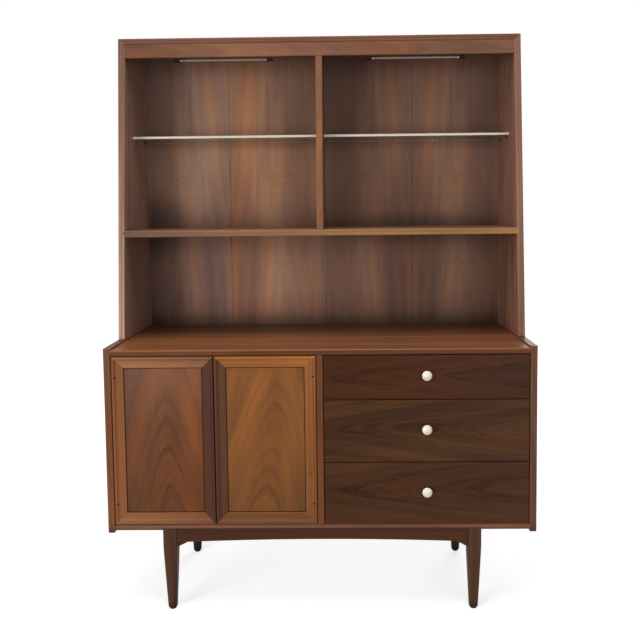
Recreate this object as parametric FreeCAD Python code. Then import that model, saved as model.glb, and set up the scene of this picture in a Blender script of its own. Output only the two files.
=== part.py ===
import FreeCAD, Part
import math
import os

os.makedirs("parts", exist_ok=True)

# A china cabinet in two parts: a hutch with sloping sides on a buffet base with legs.
# Millimetres. X runs across, Y towards the wall, Z up from the floor.
# While it is built, Y is zero at the front edges of the base sides.

# Whole case
case_width = 1372.0
case_depth = 483.0
side_thick = 22.0
back_thick = 6.0
back_inset = 1.0
back_rabbet = 8.0
back_play = 0.5
edge_round = 4.0
bead_groove_width = 2.4
bead_groove_depth = 1.6
overrun = 5.0
near_enough = 0.01
mostly_share = 0.9
whole_turn = 360

# Base carcass
leg_height = 270.0
bottom_thick = 20.0
opening_height = 549.0
top_thick = 19.0
side_rise = 6.0
side_drop = 5.0
top_setback = 1.0
bottom_setback = 3.0
upright_setback = 2.0
upright_thick = 20.0
upright_round = 3.0
top_edge_round_upper = 7.0
top_edge_round_lower = 5.0
bottom_edge_round = 9.0

# Leg frame
leg_width = 45.0
leg_foot_width = 28.0
leg_waist_width = 37.5
leg_waist_height = 115.0
leg_block_drop = 56.5
leg_corner_round = 6.0
leg_foot_round = 11.0
leg_sole_round = 5.0
leg_from_side = 173.0
leg_from_back = 59.5
leg_setback = 8.5
apron_thick = 20.0
apron_height = 30.5
apron_knee_height = 38.5
apron_knee_run = 36.0
apron_side_height = 45.0
apron_side_arch = 12.0
lap_height = 9.0
lap_thick = 8.0
glide_radius = 11.0
glide_thick = 4.0
glide_stem_radius = 3.0
glide_stem_length = 12.0
glide_stem_gap = 0.05
glide_round = 1.3

# Screws of the case: countersunk head, plain shank
screw_radius = 2.0
screw_head_radius = 3.9
screw_head_depth = 2.4
screw_length = 30.0
screw_hole_gap = 0.1
counterbore_gap = 1.0
apron_screw_inset = 110.0
apron_screw_bite = 14.0

# Doors
door_setback = 2.0
door_side_gap = 2.5
door_meeting_gap = 3.0
door_end_gap = 2.5
door_thick = 20.0
frame_width = 36.0
lip_width = 8.5
lip_round = 3.0
quirk_depth = 2.0
quirk_width = 1.4
cove_run = 11.0
cove_drop = 6.0
frame_band_drop = 0.6
frame_inner_round = 1.0
panel_thick = 6.0
panel_step = 3.0
panel_tongue = 7.0
panel_play = 0.2
panel_groove_width = 2.5
panel_groove_depth = 2.5
plug_radius = 3.5
plug_depth = 9.0
plug_inset = 9.2
plug_from_end = 66.0

# Door pivots
pivot_from_edge = 12.0
pivot_from_front = 9.0
pivot_radius = 2.5
pivot_play = 0.05
hinge_leaf_length = 38.0
hinge_leaf_width = 10.0
hinge_leaf_thick = 2.5
hinge_leaf_lead = 7.0

# Door catches
catch_width = 36.0
catch_depth = 12.0
catch_height = 13.0
catch_gap = 0.6
strike_width = 18.0
strike_height = 11.0
strike_thick = 1.5
catch_round = 0.8

# Cupboard shelf and shelf pins
shelf_thick = 18.0
shelf_rise = 264.0
shelf_front = 30.0
shelf_back_gap = 8.0
shelf_side_gap = 1.5
shelf_edge_round = 3.0
pin_radius = 2.5
pin_in_wood = 12.0
pin_out = 8.0
pin_collar_radius = 4.5
pin_collar_thick = 1.2
pin_hole_gap = 0.05
pin_from_ends = 40.0

# Drawers
drawer_setback = 2.0
drawer_gap = 2.5
drawer_front_thick = 20.0
drawer_front_round = 1.5
drawer_top_height = 140.5
drawer_length = 440.0
drawer_side_thick = 14.0
drawer_side_foot = 10.0
drawer_side_head = 18.0
drawer_back_thick = 12.0
drawer_back_drop = 8.0
drawer_back_from_end = 8.0
drawer_bottom_thick = 5.0
drawer_bottom_rise = 8.0
drawer_bottom_groove = 5.0
drawer_bottom_play = 0.1
tail_length = 13.0
tail_slope_share = 0.14
tail_share = 0.5
tail_pitch_wanted = 38.0
tail_play = 0.05
tails_least = 2
runner_height = 16.0
runner_play = 0.3
runner_groove = 8.0
runner_front = 34.0
runner_length = 420.0

# Knobs
knob_radius = 16.0
knob_length = 24.0
knob_base_radius = 9.0
knob_neck_radius = 6.5
knob_neck_out = 5.0
knob_rim_out = 16.0
knob_rim_round = 2.0
knob_waist_share = 0.25
knob_rise = 8.0
knob_screw_radius = 2.0
knob_screw_bite = 13.0
knob_screw_gap = 0.3
knob_thread_gap = 0.05
knob_screw_head_radius = 4.5
knob_screw_head_thick = 2.6

# Hutch
hutch_height = 1022.0
hutch_foot_setback = 152.0
hutch_head_setback = 238.0
hutch_top_thick = 20.0
valance_height = 47.0
valance_thick = 19.0
valance_setback = 2.0
valance_round = 3.0
hutch_shelf_rise = 344.0
hutch_shelf_thick = 22.0
hutch_shelf_inlet = 6.0
hutch_shelf_round = 4.0
divider_thick = 22.0
glass_thick = 9.0
glass_rise = 320.5
glass_setback = 85.0
glass_back_gap = 4.0
glass_side_gap = 1.5
glass_edge_round = 1.0

# Lamps
lamp_tube_radius = 3.5
lamp_tube_length = 302.0
lamp_from_divider = 152.0
lamp_behind_valance = 14.0
lamp_socket_length = 20.0
lamp_socket_width = 24.0
lamp_socket_drop = 32.0
lamp_socket_round = 8.0
lamp_housing_depth = 36.0
lamp_housing_height = 20.0
lamp_housing_round = 4.0
lamp_cap_radius = 3.8
lamp_cap_length = 6.0
lamp_pin_radius = 0.6
lamp_pin_length = 6.0
lamp_pin_spacing = 3.4
lamp_pin_gap = 0.05
lamp_tube_above_socket_end = 5.5

# Plates that join the hutch to the base
plate_width = 11.0
plate_height = 110.0
plate_thick = 2.5
plate_from_side = 7.5
plate_screw_near = 18.0
plate_screw_far = 42.0

# Places worked out from the sizes above
half_width = case_width / 2
inner = half_width - side_thick
back_face = case_depth
back_rear = case_depth - back_inset
back_front = back_rear - back_thick
bottom_top = leg_height + bottom_thick
top_under = bottom_top + opening_height
top_face = top_under + top_thick
side_low = leg_height - side_drop
side_high = top_face + side_rise
hutch_low = side_high
hutch_high = side_high + hutch_height
hutch_ceiling = hutch_high - hutch_top_thick
hutch_shelf_low = hutch_low + hutch_shelf_rise
hutch_shelf_high = hutch_shelf_low + hutch_shelf_thick
glass_low = hutch_shelf_high + glass_rise
valance_low = hutch_ceiling - valance_height
upright_face = upright_thick / 2
divider_face = divider_thick / 2
leg_x = half_width - leg_from_side - leg_width / 2
leg_front_y = leg_setback + leg_width / 2
leg_back_y = back_face - leg_from_back - leg_width / 2
knob_front = drawer_setback - knob_length
middle_depth = (knob_front + back_face) / 2


def hutch_front(height):
    """Depth of the sloping front edge of the hutch at a height."""
    climb = (height - hutch_low) / (hutch_high - hutch_low)
    return hutch_foot_setback + (hutch_head_setback - hutch_foot_setback) * climb


def at(x, y, z):
    return FreeCAD.Vector(x, y, z)


across_way = at(1, 0, 0)
deep_way = at(0, 1, 0)
front_way = at(0, -1, 0)
up_way = at(0, 0, 1)


def block(x0, x1, y0, y1, z0, z1):
    """A box between two limits in each direction."""
    return Part.makeBox(x1 - x0, y1 - y0, z1 - z0, at(x0, y0, z0))


def prism(corners, travel):
    """A straight prism from a closed outline, moved along a vector."""
    outline = Part.makePolygon(corners + [corners[0]])
    return Part.Face(outline).extrude(travel)


def prism_along_x(corners, x0, x1):
    """A prism with (y, z) corners."""
    return prism([at(x0, y, z) for y, z in corners], at(x1 - x0, 0, 0))


def prism_along_y(corners, y0, y1):
    """A prism with (x, z) corners."""
    return prism([at(x, y0, z) for x, z in corners], at(0, y1 - y0, 0))


def rod(radius, start, direction, length):
    return Part.makeCylinder(radius, length, start, direction)


def near(a, b):
    return abs(a - b) < near_enough


def runs_along(edge, way):
    """Whether an edge runs mostly along a direction."""
    ends = [vertex.Point for vertex in edge.Vertexes]
    if len(ends) != 2:
        return False
    span = ends[1] - ends[0]
    return abs(span.dot(way)) > mostly_share * span.Length


def rounded(solid, radius, test, way=None):
    """Round the edges whose end points all pass a test, and that run along a way if given."""
    chosen = [edge for edge in solid.Edges
              if all(test(vertex.Point) for vertex in edge.Vertexes)
              and (way is None or runs_along(edge, way))]
    return solid.makeFillet(radius, chosen)


def mirrored(shape):
    """The same piece on the other side of the cabinet."""
    return shape.mirror(at(0, 0, 0), across_way)


def save(name, *solids):
    """Write one node, with the origin under the middle of the cabinet."""
    shape = solids[0] if len(solids) == 1 else Part.Compound(list(solids))
    shape = shape.copy()
    shape.translate(at(0, -middle_depth, 0))
    shape.exportStep("parts/" + name + ".step")


def countersunk_screw(head_centre, direction, length):
    """A screw whose flat head starts at a point and whose shank runs along a direction."""
    head = Part.makeCone(screw_head_radius, screw_radius, screw_head_depth, head_centre, direction)
    return head.fuse(rod(screw_radius, head_centre, direction, length))


def screw_hole(head_centre, direction, length):
    """The hole that a countersunk screw fills."""
    head = Part.makeCone(screw_head_radius + screw_hole_gap, screw_radius + screw_hole_gap,
                         screw_head_depth, head_centre, direction)
    shank = rod(screw_radius + screw_hole_gap, head_centre, direction, length + screw_hole_gap)
    return head.fuse(shank)


# Shelf pins: one shape for the wood shelf and for the glass

def shelf_pin(wall_x, y, z, way):
    """A pin in a wall, its top at height z, standing out towards way (1 or -1)."""
    axis_z = z - pin_radius
    shank = rod(pin_radius, at(wall_x - way * pin_in_wood, y, axis_z), at(way, 0, 0),
                pin_in_wood + pin_out)
    collar = rod(pin_collar_radius, at(wall_x, y, axis_z), at(way, 0, 0), pin_collar_thick)
    above = block(wall_x - pin_out, wall_x + pin_out, y - pin_collar_radius,
                  y + pin_collar_radius, z, z + pin_collar_radius)
    return shank.fuse(collar.cut(above))


def pin_hole(wall_x, y, z, way):
    depth = pin_in_wood + pin_hole_gap
    start = at(wall_x - way * depth, y, z - pin_radius)
    return rod(pin_radius + pin_hole_gap, start, at(way, 0, 0), depth + overrun)


def pin_places(left, right, front, back, height):
    """Four pins that carry one shelf: (wall x, y, z, way)."""
    places = []
    for y in (front + pin_from_ends, back - pin_from_ends):
        places.append((left, y, height, 1))
        places.append((right, y, height, -1))
    return places


cupboard_shelf_low = bottom_top + shelf_rise
cupboard_shelf_back = back_front - shelf_back_gap
glass_front = hutch_front(glass_low) + glass_setback
glass_back = back_front - glass_back_gap
cupboard_pins = pin_places(-inner, -upright_face, shelf_front, cupboard_shelf_back,
                           cupboard_shelf_low)
glass_pins_left = pin_places(-inner, -divider_face, glass_front, glass_back, glass_low)
glass_pins_right = pin_places(divider_face, inner, glass_front, glass_back, glass_low)
all_pins = cupboard_pins + glass_pins_left + glass_pins_right


def drill_pins(panel, places):
    for place in places:
        panel = panel.cut(pin_hole(*place))
    return panel


# Plates behind the joint of hutch and base

plate_x = half_width - plate_from_side
plate_screw_heights = [hutch_low + way * reach for way in (-1, 1)
                       for reach in (plate_screw_near, plate_screw_far)]


def drill_plate_screws(panel):
    for height in plate_screw_heights:
        panel = panel.cut(screw_hole(at(plate_x, back_face, height), front_way, screw_length))
    return panel


def joining_plate_blank():
    """A plate with round ends, flush with the back edges of the sides."""
    reach = plate_height / 2 - plate_width / 2
    front = back_face - plate_thick
    plate = block(plate_x - plate_width / 2, plate_x + plate_width / 2, front, back_face,
                  hutch_low - reach, hutch_low + reach)
    for height in (hutch_low - reach, hutch_low + reach):
        plate = plate.fuse(rod(plate_width / 2, at(plate_x, front, height), deep_way,
                               plate_thick))
    return plate.removeSplitter()


def let_in_plate(side):
    """Cut a side for its half of the joining plate and for the screws."""
    return drill_plate_screws(side.cut(joining_plate_blank()))


# Base carcass

def base_side_right():
    """A side with round rims and lower end, and a fine groove between two beads on its front."""
    side = block(inner, half_width, 0, back_face, side_low, side_high)
    side = rounded(side, edge_round, lambda p: near(p.y, 0) or near(p.z, side_low))
    side = side.cut(block(inner, inner + back_rabbet, back_front, back_face + overrun,
                          side_low - overrun, side_high + overrun))
    middle = (inner + half_width) / 2
    half_groove = bead_groove_width / 2
    front_vee = [at(middle - half_groove, 0, side_low), at(middle + half_groove, 0, side_low),
                 at(middle, bead_groove_depth, side_low)]
    side = side.cut(prism(front_vee, at(0, 0, side_high - side_low)))
    top_vee = [at(middle - half_groove, 0, side_high), at(middle + half_groove, 0, side_high),
               at(middle, 0, side_high - bead_groove_depth)]
    side = side.cut(prism(top_vee, at(0, hutch_foot_setback, 0)))
    return let_in_plate(side)


def base_top():
    top = block(-inner, inner, top_setback, back_front, top_under, top_face)
    top = rounded(top, top_edge_round_upper,
                  lambda p: near(p.y, top_setback) and near(p.z, top_face))
    top = rounded(top, top_edge_round_lower,
                  lambda p: near(p.y, top_setback) and near(p.z, top_under))
    for x in pivot_places:
        top = top.cut(hinge_leaf(x, top_under))
    return top


def base_bottom():
    """The bottom board, whose front edge laps over the leg frame."""
    board = block(-inner, inner, bottom_setback, back_front, leg_height, bottom_top)
    board = rounded(board, bottom_edge_round, lambda p: near(p.y, bottom_setback), across_way)
    frame_reach = leg_x + leg_width / 2
    board = board.cut(block(-frame_reach, frame_reach, 0, leg_setback + lap_thick,
                            leg_height - overrun, leg_height + lap_height))
    for x in pivot_places:
        board = board.cut(hinge_leaf(x, bottom_top - hinge_leaf_thick))
    for place in apron_screw_places:
        board = board.cut(screw_hole(place, up_way, screw_length))
    return board


def base_upright():
    """The upright between cupboard and drawers, whose front edge is the centre stile."""
    upright = block(-upright_face, upright_face, upright_setback, back_front,
                    bottom_top, top_under)
    return rounded(upright, upright_round, lambda p: near(p.y, upright_setback)
                   and near(abs(p.x), upright_face), up_way)


def back_panel(low, high):
    reach = inner + back_rabbet - back_play
    return block(-reach, reach, back_front, back_rear, low, high)


def cupboard_shelf():
    shelf = block(-inner + shelf_side_gap, -upright_face - shelf_side_gap, shelf_front,
                  cupboard_shelf_back, cupboard_shelf_low, cupboard_shelf_low + shelf_thick)
    return rounded(shelf, shelf_edge_round, lambda p: near(p.y, shelf_front), across_way)


# Door pivots: leaves let into the case, with a bore that the pin of the door turns in

bay_left = -inner
bay_right = -upright_face
door_width = (bay_right - bay_left - 2 * door_side_gap - door_meeting_gap) / 2
door_low = bottom_top + door_end_gap
door_high = top_under - door_end_gap
door_height = door_high - door_low
door_left_x = bay_left + door_side_gap
door_right_x = bay_right - door_side_gap
pivot_y = door_setback + pivot_from_front
pivot_left_x = door_left_x + pivot_from_edge
pivot_right_x = door_right_x - pivot_from_edge
pivot_places = [pivot_left_x, pivot_right_x]


def hinge_leaf(x, low):
    """A leaf that reaches from the pivot towards the middle of the cupboard."""
    way = 1 if x == pivot_left_x else -1
    ends = sorted([x - way * hinge_leaf_lead, x + way * (hinge_leaf_length - hinge_leaf_lead)])
    return block(ends[0], ends[1], pivot_y - hinge_leaf_width / 2,
                 pivot_y + hinge_leaf_width / 2, low, low + hinge_leaf_thick)


def case_hinge_plates():
    plates = []
    for x in pivot_places:
        for low in (bottom_top - hinge_leaf_thick, top_under):
            bore = rod(pivot_radius + pivot_play, at(x, pivot_y, low - overrun), up_way,
                       hinge_leaf_thick + 2 * overrun)
            plates.append(hinge_leaf(x, low).cut(bore))
    return plates


def door_pivots(x):
    """The two leaves of a door, each with its pin."""
    pin_length = hinge_leaf_thick + door_end_gap + hinge_leaf_thick
    lower_leaf = hinge_leaf(x, door_low)
    lower_pin = rod(pivot_radius, at(x, pivot_y, bottom_top - hinge_leaf_thick), up_way,
                    pin_length)
    upper_leaf = hinge_leaf(x, door_high - hinge_leaf_thick)
    upper_pin = rod(pivot_radius, at(x, pivot_y, door_high - hinge_leaf_thick), up_way,
                    pin_length)
    return [lower_leaf.fuse(lower_pin), upper_leaf.fuse(upper_pin)]


def cut_hinge_leaves(piece, x):
    for low in (door_low, door_high - hinge_leaf_thick):
        piece = piece.cut(hinge_leaf(x, low))
    return piece


# Doors: a flat panel in a mitred frame with a coved moulding

panel_face = door_setback + cove_drop + frame_band_drop + panel_step


def moulding_edges():
    """The section of the frame: (across from the outer edge, depth from the door's front)."""
    corner = math.sqrt(2) / 2
    lip_mid = lip_round * (1 - corner)
    crest = lip_width - lip_round
    cove_start = lip_width + quirk_width
    cove_end = cove_start + cove_run
    cove_mid_across = cove_end - cove_run * corner
    cove_mid_depth = cove_drop * corner
    inner_edge = frame_width - frame_inner_round
    band_depth = cove_drop + frame_band_drop
    groove_front = panel_face - door_setback - panel_play
    groove_back = groove_front + panel_thick + 2 * panel_play
    groove_floor = frame_width - panel_tongue - panel_play
    return [
        ("line", (0, door_thick), (0, lip_round)),
        ("arc", (0, lip_round), (lip_mid, lip_mid), (lip_round, 0)),
        ("line", (lip_round, 0), (crest, 0)),
        ("arc", (crest, 0), (lip_width - lip_mid, lip_mid), (lip_width, lip_round)),
        ("line", (lip_width, lip_round), (cove_start, quirk_depth)),
        ("arc", (cove_start, quirk_depth),
         (cove_mid_across, quirk_depth + (cove_drop - quirk_depth) * corner),
         (cove_end, cove_drop)),
        ("line", (cove_end, cove_drop), (inner_edge, band_depth)),
        ("line", (inner_edge, band_depth), (frame_width, band_depth + frame_inner_round)),
        ("line", (frame_width, band_depth + frame_inner_round), (frame_width, groove_front)),
        ("line", (frame_width, groove_front), (groove_floor, groove_front)),
        ("line", (groove_floor, groove_front), (groove_floor, groove_back)),
        ("line", (groove_floor, groove_back), (frame_width, groove_back)),
        ("line", (frame_width, groove_back), (frame_width, door_thick)),
        ("line", (frame_width, door_thick), (0, door_thick)),
    ]


def moulding_bar(place, travel):
    """A bar of moulding; place turns a (across, depth) pair into a point."""
    edges = []
    for kind, *points in moulding_edges():
        corners = [place(*point) for point in points]
        if kind == "line":
            edges.append(Part.LineSegment(*corners).toShape())
        else:
            edges.append(Part.Arc(*corners).toShape())
    return Part.Face(Part.Wire(edges)).extrude(travel)


def door_stile(x0, way):
    """A stile whose outer edge is at x0 and which is mitred at both ends."""
    bar = moulding_bar(lambda across, depth: at(x0 + way * across, door_setback + depth, door_low),
                       at(0, 0, door_height))
    mitre = [(x0, door_low), (x0 + way * frame_width, door_low + frame_width),
             (x0 + way * frame_width, door_high - frame_width), (x0, door_high)]
    return bar.common(prism_along_y(mitre, 0, door_setback + door_thick + overrun))


def door_rail(x0, x1, z0, way):
    """A rail whose outer edge is at height z0."""
    bar = moulding_bar(lambda across, depth: at(x0, door_setback + depth, z0 + way * across),
                       at(x1 - x0, 0, 0))
    mitre = [(x0, z0), (x0 + frame_width, z0 + way * frame_width),
             (x1 - frame_width, z0 + way * frame_width), (x1, z0)]
    return bar.common(prism_along_y(mitre, 0, door_setback + door_thick + overrun))


def panel_groove(x0, x1):
    """The fine groove round the visible part of a panel."""
    depth = panel_face + panel_groove_depth
    rings = [block(x0 + inset, x1 - inset, panel_face - overrun, depth, door_low + inset,
                   door_high - inset)
             for inset in (frame_width, frame_width + panel_groove_width)]
    return rings[0].cut(rings[1])


def make_door(side, hinge_x, way):
    """One door; hinge_x is its outer edge and way points to its meeting edge."""
    far_x = hinge_x + way * door_width
    x0 = min(hinge_x, far_x)
    x1 = max(hinge_x, far_x)
    pivot_x = hinge_x + way * pivot_from_edge
    plug_x = hinge_x + way * plug_inset
    plugs = []
    holes = []
    for z in (door_low + plug_from_end, door_high - plug_from_end):
        plugs.append(rod(plug_radius, at(plug_x, door_setback + quirk_depth, z), deep_way,
                         plug_depth))
        holes.append(rod(plug_radius, at(plug_x, door_setback - overrun, z), deep_way,
                         overrun + quirk_depth + plug_depth))
    hinge_stile = cut_hinge_leaves(door_stile(hinge_x, way), pivot_x)
    for hole in holes:
        hinge_stile = hinge_stile.cut(hole)
    rails = [cut_hinge_leaves(door_rail(x0, x1, door_low, 1), pivot_x),
             cut_hinge_leaves(door_rail(x0, x1, door_high, -1), pivot_x)]
    reach = frame_width - panel_tongue
    panel = block(x0 + reach, x1 - reach, panel_face, panel_face + panel_thick,
                  door_low + reach, door_high - reach)
    panel = panel.cut(panel_groove(x0, x1))
    strike_x = far_x - way * frame_width / 2
    back = door_setback + door_thick
    strike_z = door_high - strike_height
    strike = block(strike_x - strike_width / 2, strike_x + strike_width / 2, back,
                   back + strike_thick, strike_z - strike_height / 2,
                   strike_z + strike_height / 2)
    name = "door_" + side
    save(name + "_hinge_stile", hinge_stile)
    save(name + "_meeting_stile", door_stile(far_x, -way))
    save(name + "_rails", *rails)
    save(name + "_panel", panel)
    save(name + "_fittings", *door_pivots(pivot_x), strike)
    save(name + "_plugs", *plugs)


def door_catches():
    """A magnet holder for each door, fixed under the base top beside the meeting edges."""
    catches = []
    front = door_setback + door_thick + strike_thick + catch_gap
    for far_x, way in ((door_left_x + door_width, -1), (door_right_x - door_width, 1)):
        x = far_x + way * frame_width / 2
        body = block(x - catch_width / 2, x + catch_width / 2, front, front + catch_depth,
                     top_under - catch_height, top_under)
        low = top_under - catch_height
        catches.append(rounded(body, catch_round, lambda p: near(p.z, low)))
    return catches


# Drawers: dovetailed boxes that hang on runners let into their sides

drawer_left_x = upright_face + drawer_gap
drawer_right_x = inner - drawer_gap
drawer_middle_x = (drawer_left_x + drawer_right_x) / 2
drawer_stack = door_height - 2 * drawer_gap
drawer_low_height = (drawer_stack - drawer_top_height) / 2
drawer_heights = [drawer_low_height, drawer_low_height, drawer_top_height]
drawer_names = ["drawer_bottom", "drawer_middle", "drawer_top"]
drawer_front_back = drawer_setback + drawer_front_thick
drawer_end = drawer_setback + drawer_length


def drawer_lows():
    lows = []
    low = door_low
    for height in drawer_heights:
        lows.append(low)
        low = low + height + drawer_gap
    return lows


def runner_middle(low, height):
    foot = low + drawer_side_foot
    head = low + height - drawer_side_head
    return (foot + head) / 2


def drawer_runners():
    """Strips on the upright and on the base side, rounded at the front."""
    strips = []
    reach = drawer_gap + runner_groove - runner_play
    for low, height in zip(drawer_lows(), drawer_heights):
        middle = runner_middle(low, height)
        for x0, x1 in ((upright_face, upright_face + reach), (inner - reach, inner)):
            strip = block(x0, x1, runner_front, runner_front + runner_length,
                          middle - runner_height / 2, middle + runner_height / 2)
            strips.append(rounded(strip, runner_height / 2 - runner_play,
                                  lambda p: near(p.y, runner_front), across_way))
    return strips


def tail_outline(z_middle, half_root, play):
    """A dovetail seen from the side: narrow at the board, wide at its end."""
    tip = drawer_front_back - tail_length - play
    half_tip = half_root + tail_length * tail_slope_share
    root = drawer_front_back
    return [(tip, z_middle - half_tip - play), (tip, z_middle + half_tip + play),
            (root, z_middle + half_root + play), (root, z_middle - half_root - play)]


def tails(low, height, x0, x1, play):
    foot = low + drawer_side_foot
    side_height = height - drawer_side_foot - drawer_side_head
    count = max(tails_least, round(side_height / tail_pitch_wanted))
    pitch = side_height / count
    return [prism_along_x(tail_outline(foot + (i + tail_share) * pitch,
                                       tail_share * pitch / 2, play), x0, x1)
            for i in range(count)]


def make_drawer(name, low, height):
    high = low + height
    front = block(drawer_left_x, drawer_right_x, drawer_setback, drawer_front_back, low, high)
    front = rounded(front, drawer_front_round, lambda p: near(p.y, drawer_setback))
    foot = low + drawer_side_foot
    head = high - drawer_side_head
    middle = runner_middle(low, height)
    panel_low = foot + drawer_bottom_rise
    panel_high = panel_low + drawer_bottom_thick
    inner_left = drawer_left_x + drawer_side_thick
    inner_right = drawer_right_x - drawer_side_thick
    panel_left = inner_left - drawer_bottom_groove
    panel_right = inner_right + drawer_bottom_groove
    panel_front = drawer_front_back - drawer_bottom_groove
    play = drawer_bottom_play
    bottom_groove = block(panel_left - play, panel_right + play, panel_front - play,
                          drawer_end + overrun, panel_low - play, panel_high + play)

    sides = []
    for x0, x1, outer in ((drawer_left_x, inner_left, drawer_left_x),
                          (inner_right, drawer_right_x, drawer_right_x)):
        side = block(x0, x1, drawer_front_back, drawer_end, foot, head)
        for tail in tails(low, height, x0, x1, 0):
            side = side.fuse(tail)
        for socket in tails(low, height, x0 - play, x1 + play, tail_play):
            front = front.cut(socket)
        groove_low = middle - runner_height / 2 - runner_play
        groove_high = middle + runner_height / 2 + runner_play
        groove = block(outer - runner_groove, outer + runner_groove,
                       runner_front - runner_play, drawer_end + overrun,
                       groove_low, groove_high)
        side = side.cut(groove).cut(bottom_groove)
        sides.append(side.removeSplitter())

    back_end = drawer_end - drawer_back_from_end
    back = block(inner_left, inner_right, back_end - drawer_back_thick, back_end, panel_high,
                 head - drawer_back_drop)
    bottom = block(panel_left, panel_right, panel_front, back_end, panel_low, panel_high)
    front = front.cut(bottom_groove)

    knob_z = (low + high) / 2 + knob_rise
    hole = rod(knob_screw_radius + knob_screw_gap, at(drawer_middle_x, drawer_front_back, knob_z),
               front_way, drawer_front_thick + overrun)
    front = front.cut(hole)
    head_base = at(drawer_middle_x, drawer_front_back + knob_screw_head_thick, knob_z)
    screw_head = rod(knob_screw_head_radius, head_base, front_way, knob_screw_head_thick)
    screw_head = rounded(screw_head, knob_screw_head_thick / 2, lambda p: near(p.y, head_base.y))
    shank = rod(knob_screw_radius, head_base, front_way,
                knob_screw_head_thick + drawer_front_thick + knob_screw_bite)
    save(name + "_front", front)
    save(name + "_box", *sides, back)
    save(name + "_bottom", bottom)
    save(name + "_knob", knob(knob_z))
    save(name + "_knob_screw", screw_head.fuse(shank))


def knob(z):
    """A turned knob with a waisted neck and a domed face, its shank hole bored from behind."""
    def ring(radius, out):
        return at(drawer_middle_x + radius, drawer_setback - out, z)
    axis_start = ring(0, 0)
    axis_end = ring(0, knob_length)
    dome_rise = knob_length - knob_rim_out
    dome_radius = (knob_radius ** 2 + dome_rise ** 2) / (2 * dome_rise)
    half_angle = math.asin(knob_radius / dome_radius) / 2
    dome_mid = ring(dome_radius * math.sin(half_angle),
                    knob_length - dome_radius * (1 - math.cos(half_angle)))
    under_mid = ring((knob_neck_radius + knob_radius) / 2 + knob_neck_radius * knob_waist_share,
                     (knob_neck_out + knob_rim_out) / 2 - knob_neck_out * knob_waist_share)
    neck = ring(knob_neck_radius, knob_neck_out)
    rim = ring(knob_radius, knob_rim_out)
    profile = Part.Wire([
        Part.LineSegment(axis_start, ring(knob_base_radius, 0)).toShape(),
        Part.LineSegment(ring(knob_base_radius, 0), neck).toShape(),
        Part.Arc(neck, under_mid, rim).toShape(),
        Part.Arc(rim, dome_mid, axis_end).toShape(),
        Part.LineSegment(axis_end, axis_start).toShape(),
    ])
    body = Part.Face(profile).revolve(axis_start, deep_way, whole_turn)
    body = rounded(body, knob_rim_round, lambda p: near(p.y, rim.y))
    bore = rod(knob_screw_radius + knob_thread_gap, ring(0, -overrun), front_way,
               overrun + knob_screw_bite + knob_thread_gap)
    return body.cut(bore)


# Leg frame

leg_block_low = leg_height - leg_block_drop


def rounded_square(width, radius, x, y, z):
    """A square with rounded corners, as a closed wire."""
    outer = width / 2
    straight = outer - radius
    middle = straight + radius * math.sqrt(2) / 2
    edges = []
    for turn in range(4):
        def spot(across, along, turn=turn):
            for _ in range(turn):
                across, along = -along, across
            return at(x + across, y + along, z)
        edges.append(Part.LineSegment(spot(outer, -straight), spot(outer, straight)).toShape())
        edges.append(Part.Arc(spot(outer, straight), spot(middle, middle),
                              spot(straight, outer)).toShape())
    return Part.Wire(edges)


def leg(x, y, lapped):
    """A square block at the top that tapers, a little curved, to a rounded foot."""
    block_wire = rounded_square(leg_width, leg_corner_round, x, y, leg_height)
    top_block = Part.Face(block_wire).extrude(at(0, 0, leg_block_low - leg_height))
    sections = [
        rounded_square(leg_width, leg_corner_round, x, y, leg_block_low),
        rounded_square(leg_waist_width, (leg_corner_round + leg_foot_round) / 2, x, y,
                       leg_waist_height),
        rounded_square(leg_foot_width, leg_foot_round, x, y, glide_thick),
    ]
    taper = Part.makeLoft(sections, True, False)
    sole = [edge for edge in taper.Edges
            if all(near(v.Z, glide_thick) for v in edge.Vertexes)]
    taper = taper.makeFillet(leg_sole_round, sole)
    whole = top_block.fuse(taper)
    if lapped:
        front = y - leg_width / 2
        tongue = block(x - leg_width / 2, x + leg_width / 2, front, front + lap_thick,
                       leg_height, leg_height + lap_height)
        tongue = rounded(tongue, leg_corner_round, lambda p: near(p.y, front)
                         and near(abs(p.x - x), leg_width / 2), up_way)
        whole = whole.fuse(tongue)
    stem_hole = rod(glide_stem_radius + glide_stem_gap, at(x, y, 0), up_way,
                    glide_thick + glide_stem_length + glide_stem_gap)
    return whole.cut(stem_hole)


def glide(x, y):
    disc = rod(glide_radius, at(x, y, 0), up_way, glide_thick)
    disc = rounded(disc, glide_round, lambda p: near(p.z, 0))
    stem = rod(glide_stem_radius, at(x, y, 0), up_way, glide_thick + glide_stem_length)
    return disc.fuse(stem)


def long_apron(front, lapped):
    """A rail with an angled bracket at each leg and a gentle arch between them."""
    reach = leg_x - leg_width / 2
    high = leg_height + (lap_height if lapped else 0)
    knee = leg_height - leg_block_drop
    shoulder_x = reach - apron_knee_run
    shoulder = leg_height - apron_knee_height
    crown = leg_height - apron_height
    wire = Part.Wire([
        Part.LineSegment(at(-reach, front, high), at(reach, front, high)).toShape(),
        Part.LineSegment(at(reach, front, high), at(reach, front, knee)).toShape(),
        Part.LineSegment(at(reach, front, knee), at(shoulder_x, front, shoulder)).toShape(),
        Part.Arc(at(shoulder_x, front, shoulder), at(0, front, crown),
                 at(-shoulder_x, front, shoulder)).toShape(),
        Part.LineSegment(at(-shoulder_x, front, shoulder), at(-reach, front, knee)).toShape(),
        Part.LineSegment(at(-reach, front, knee), at(-reach, front, high)).toShape(),
    ])
    apron = Part.Face(wire).extrude(at(0, apron_thick, 0))
    if lapped:
        apron = apron.cut(block(-reach - overrun, reach + overrun, front + lap_thick,
                                front + apron_thick + overrun, leg_height, high + overrun))
    return apron


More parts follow.
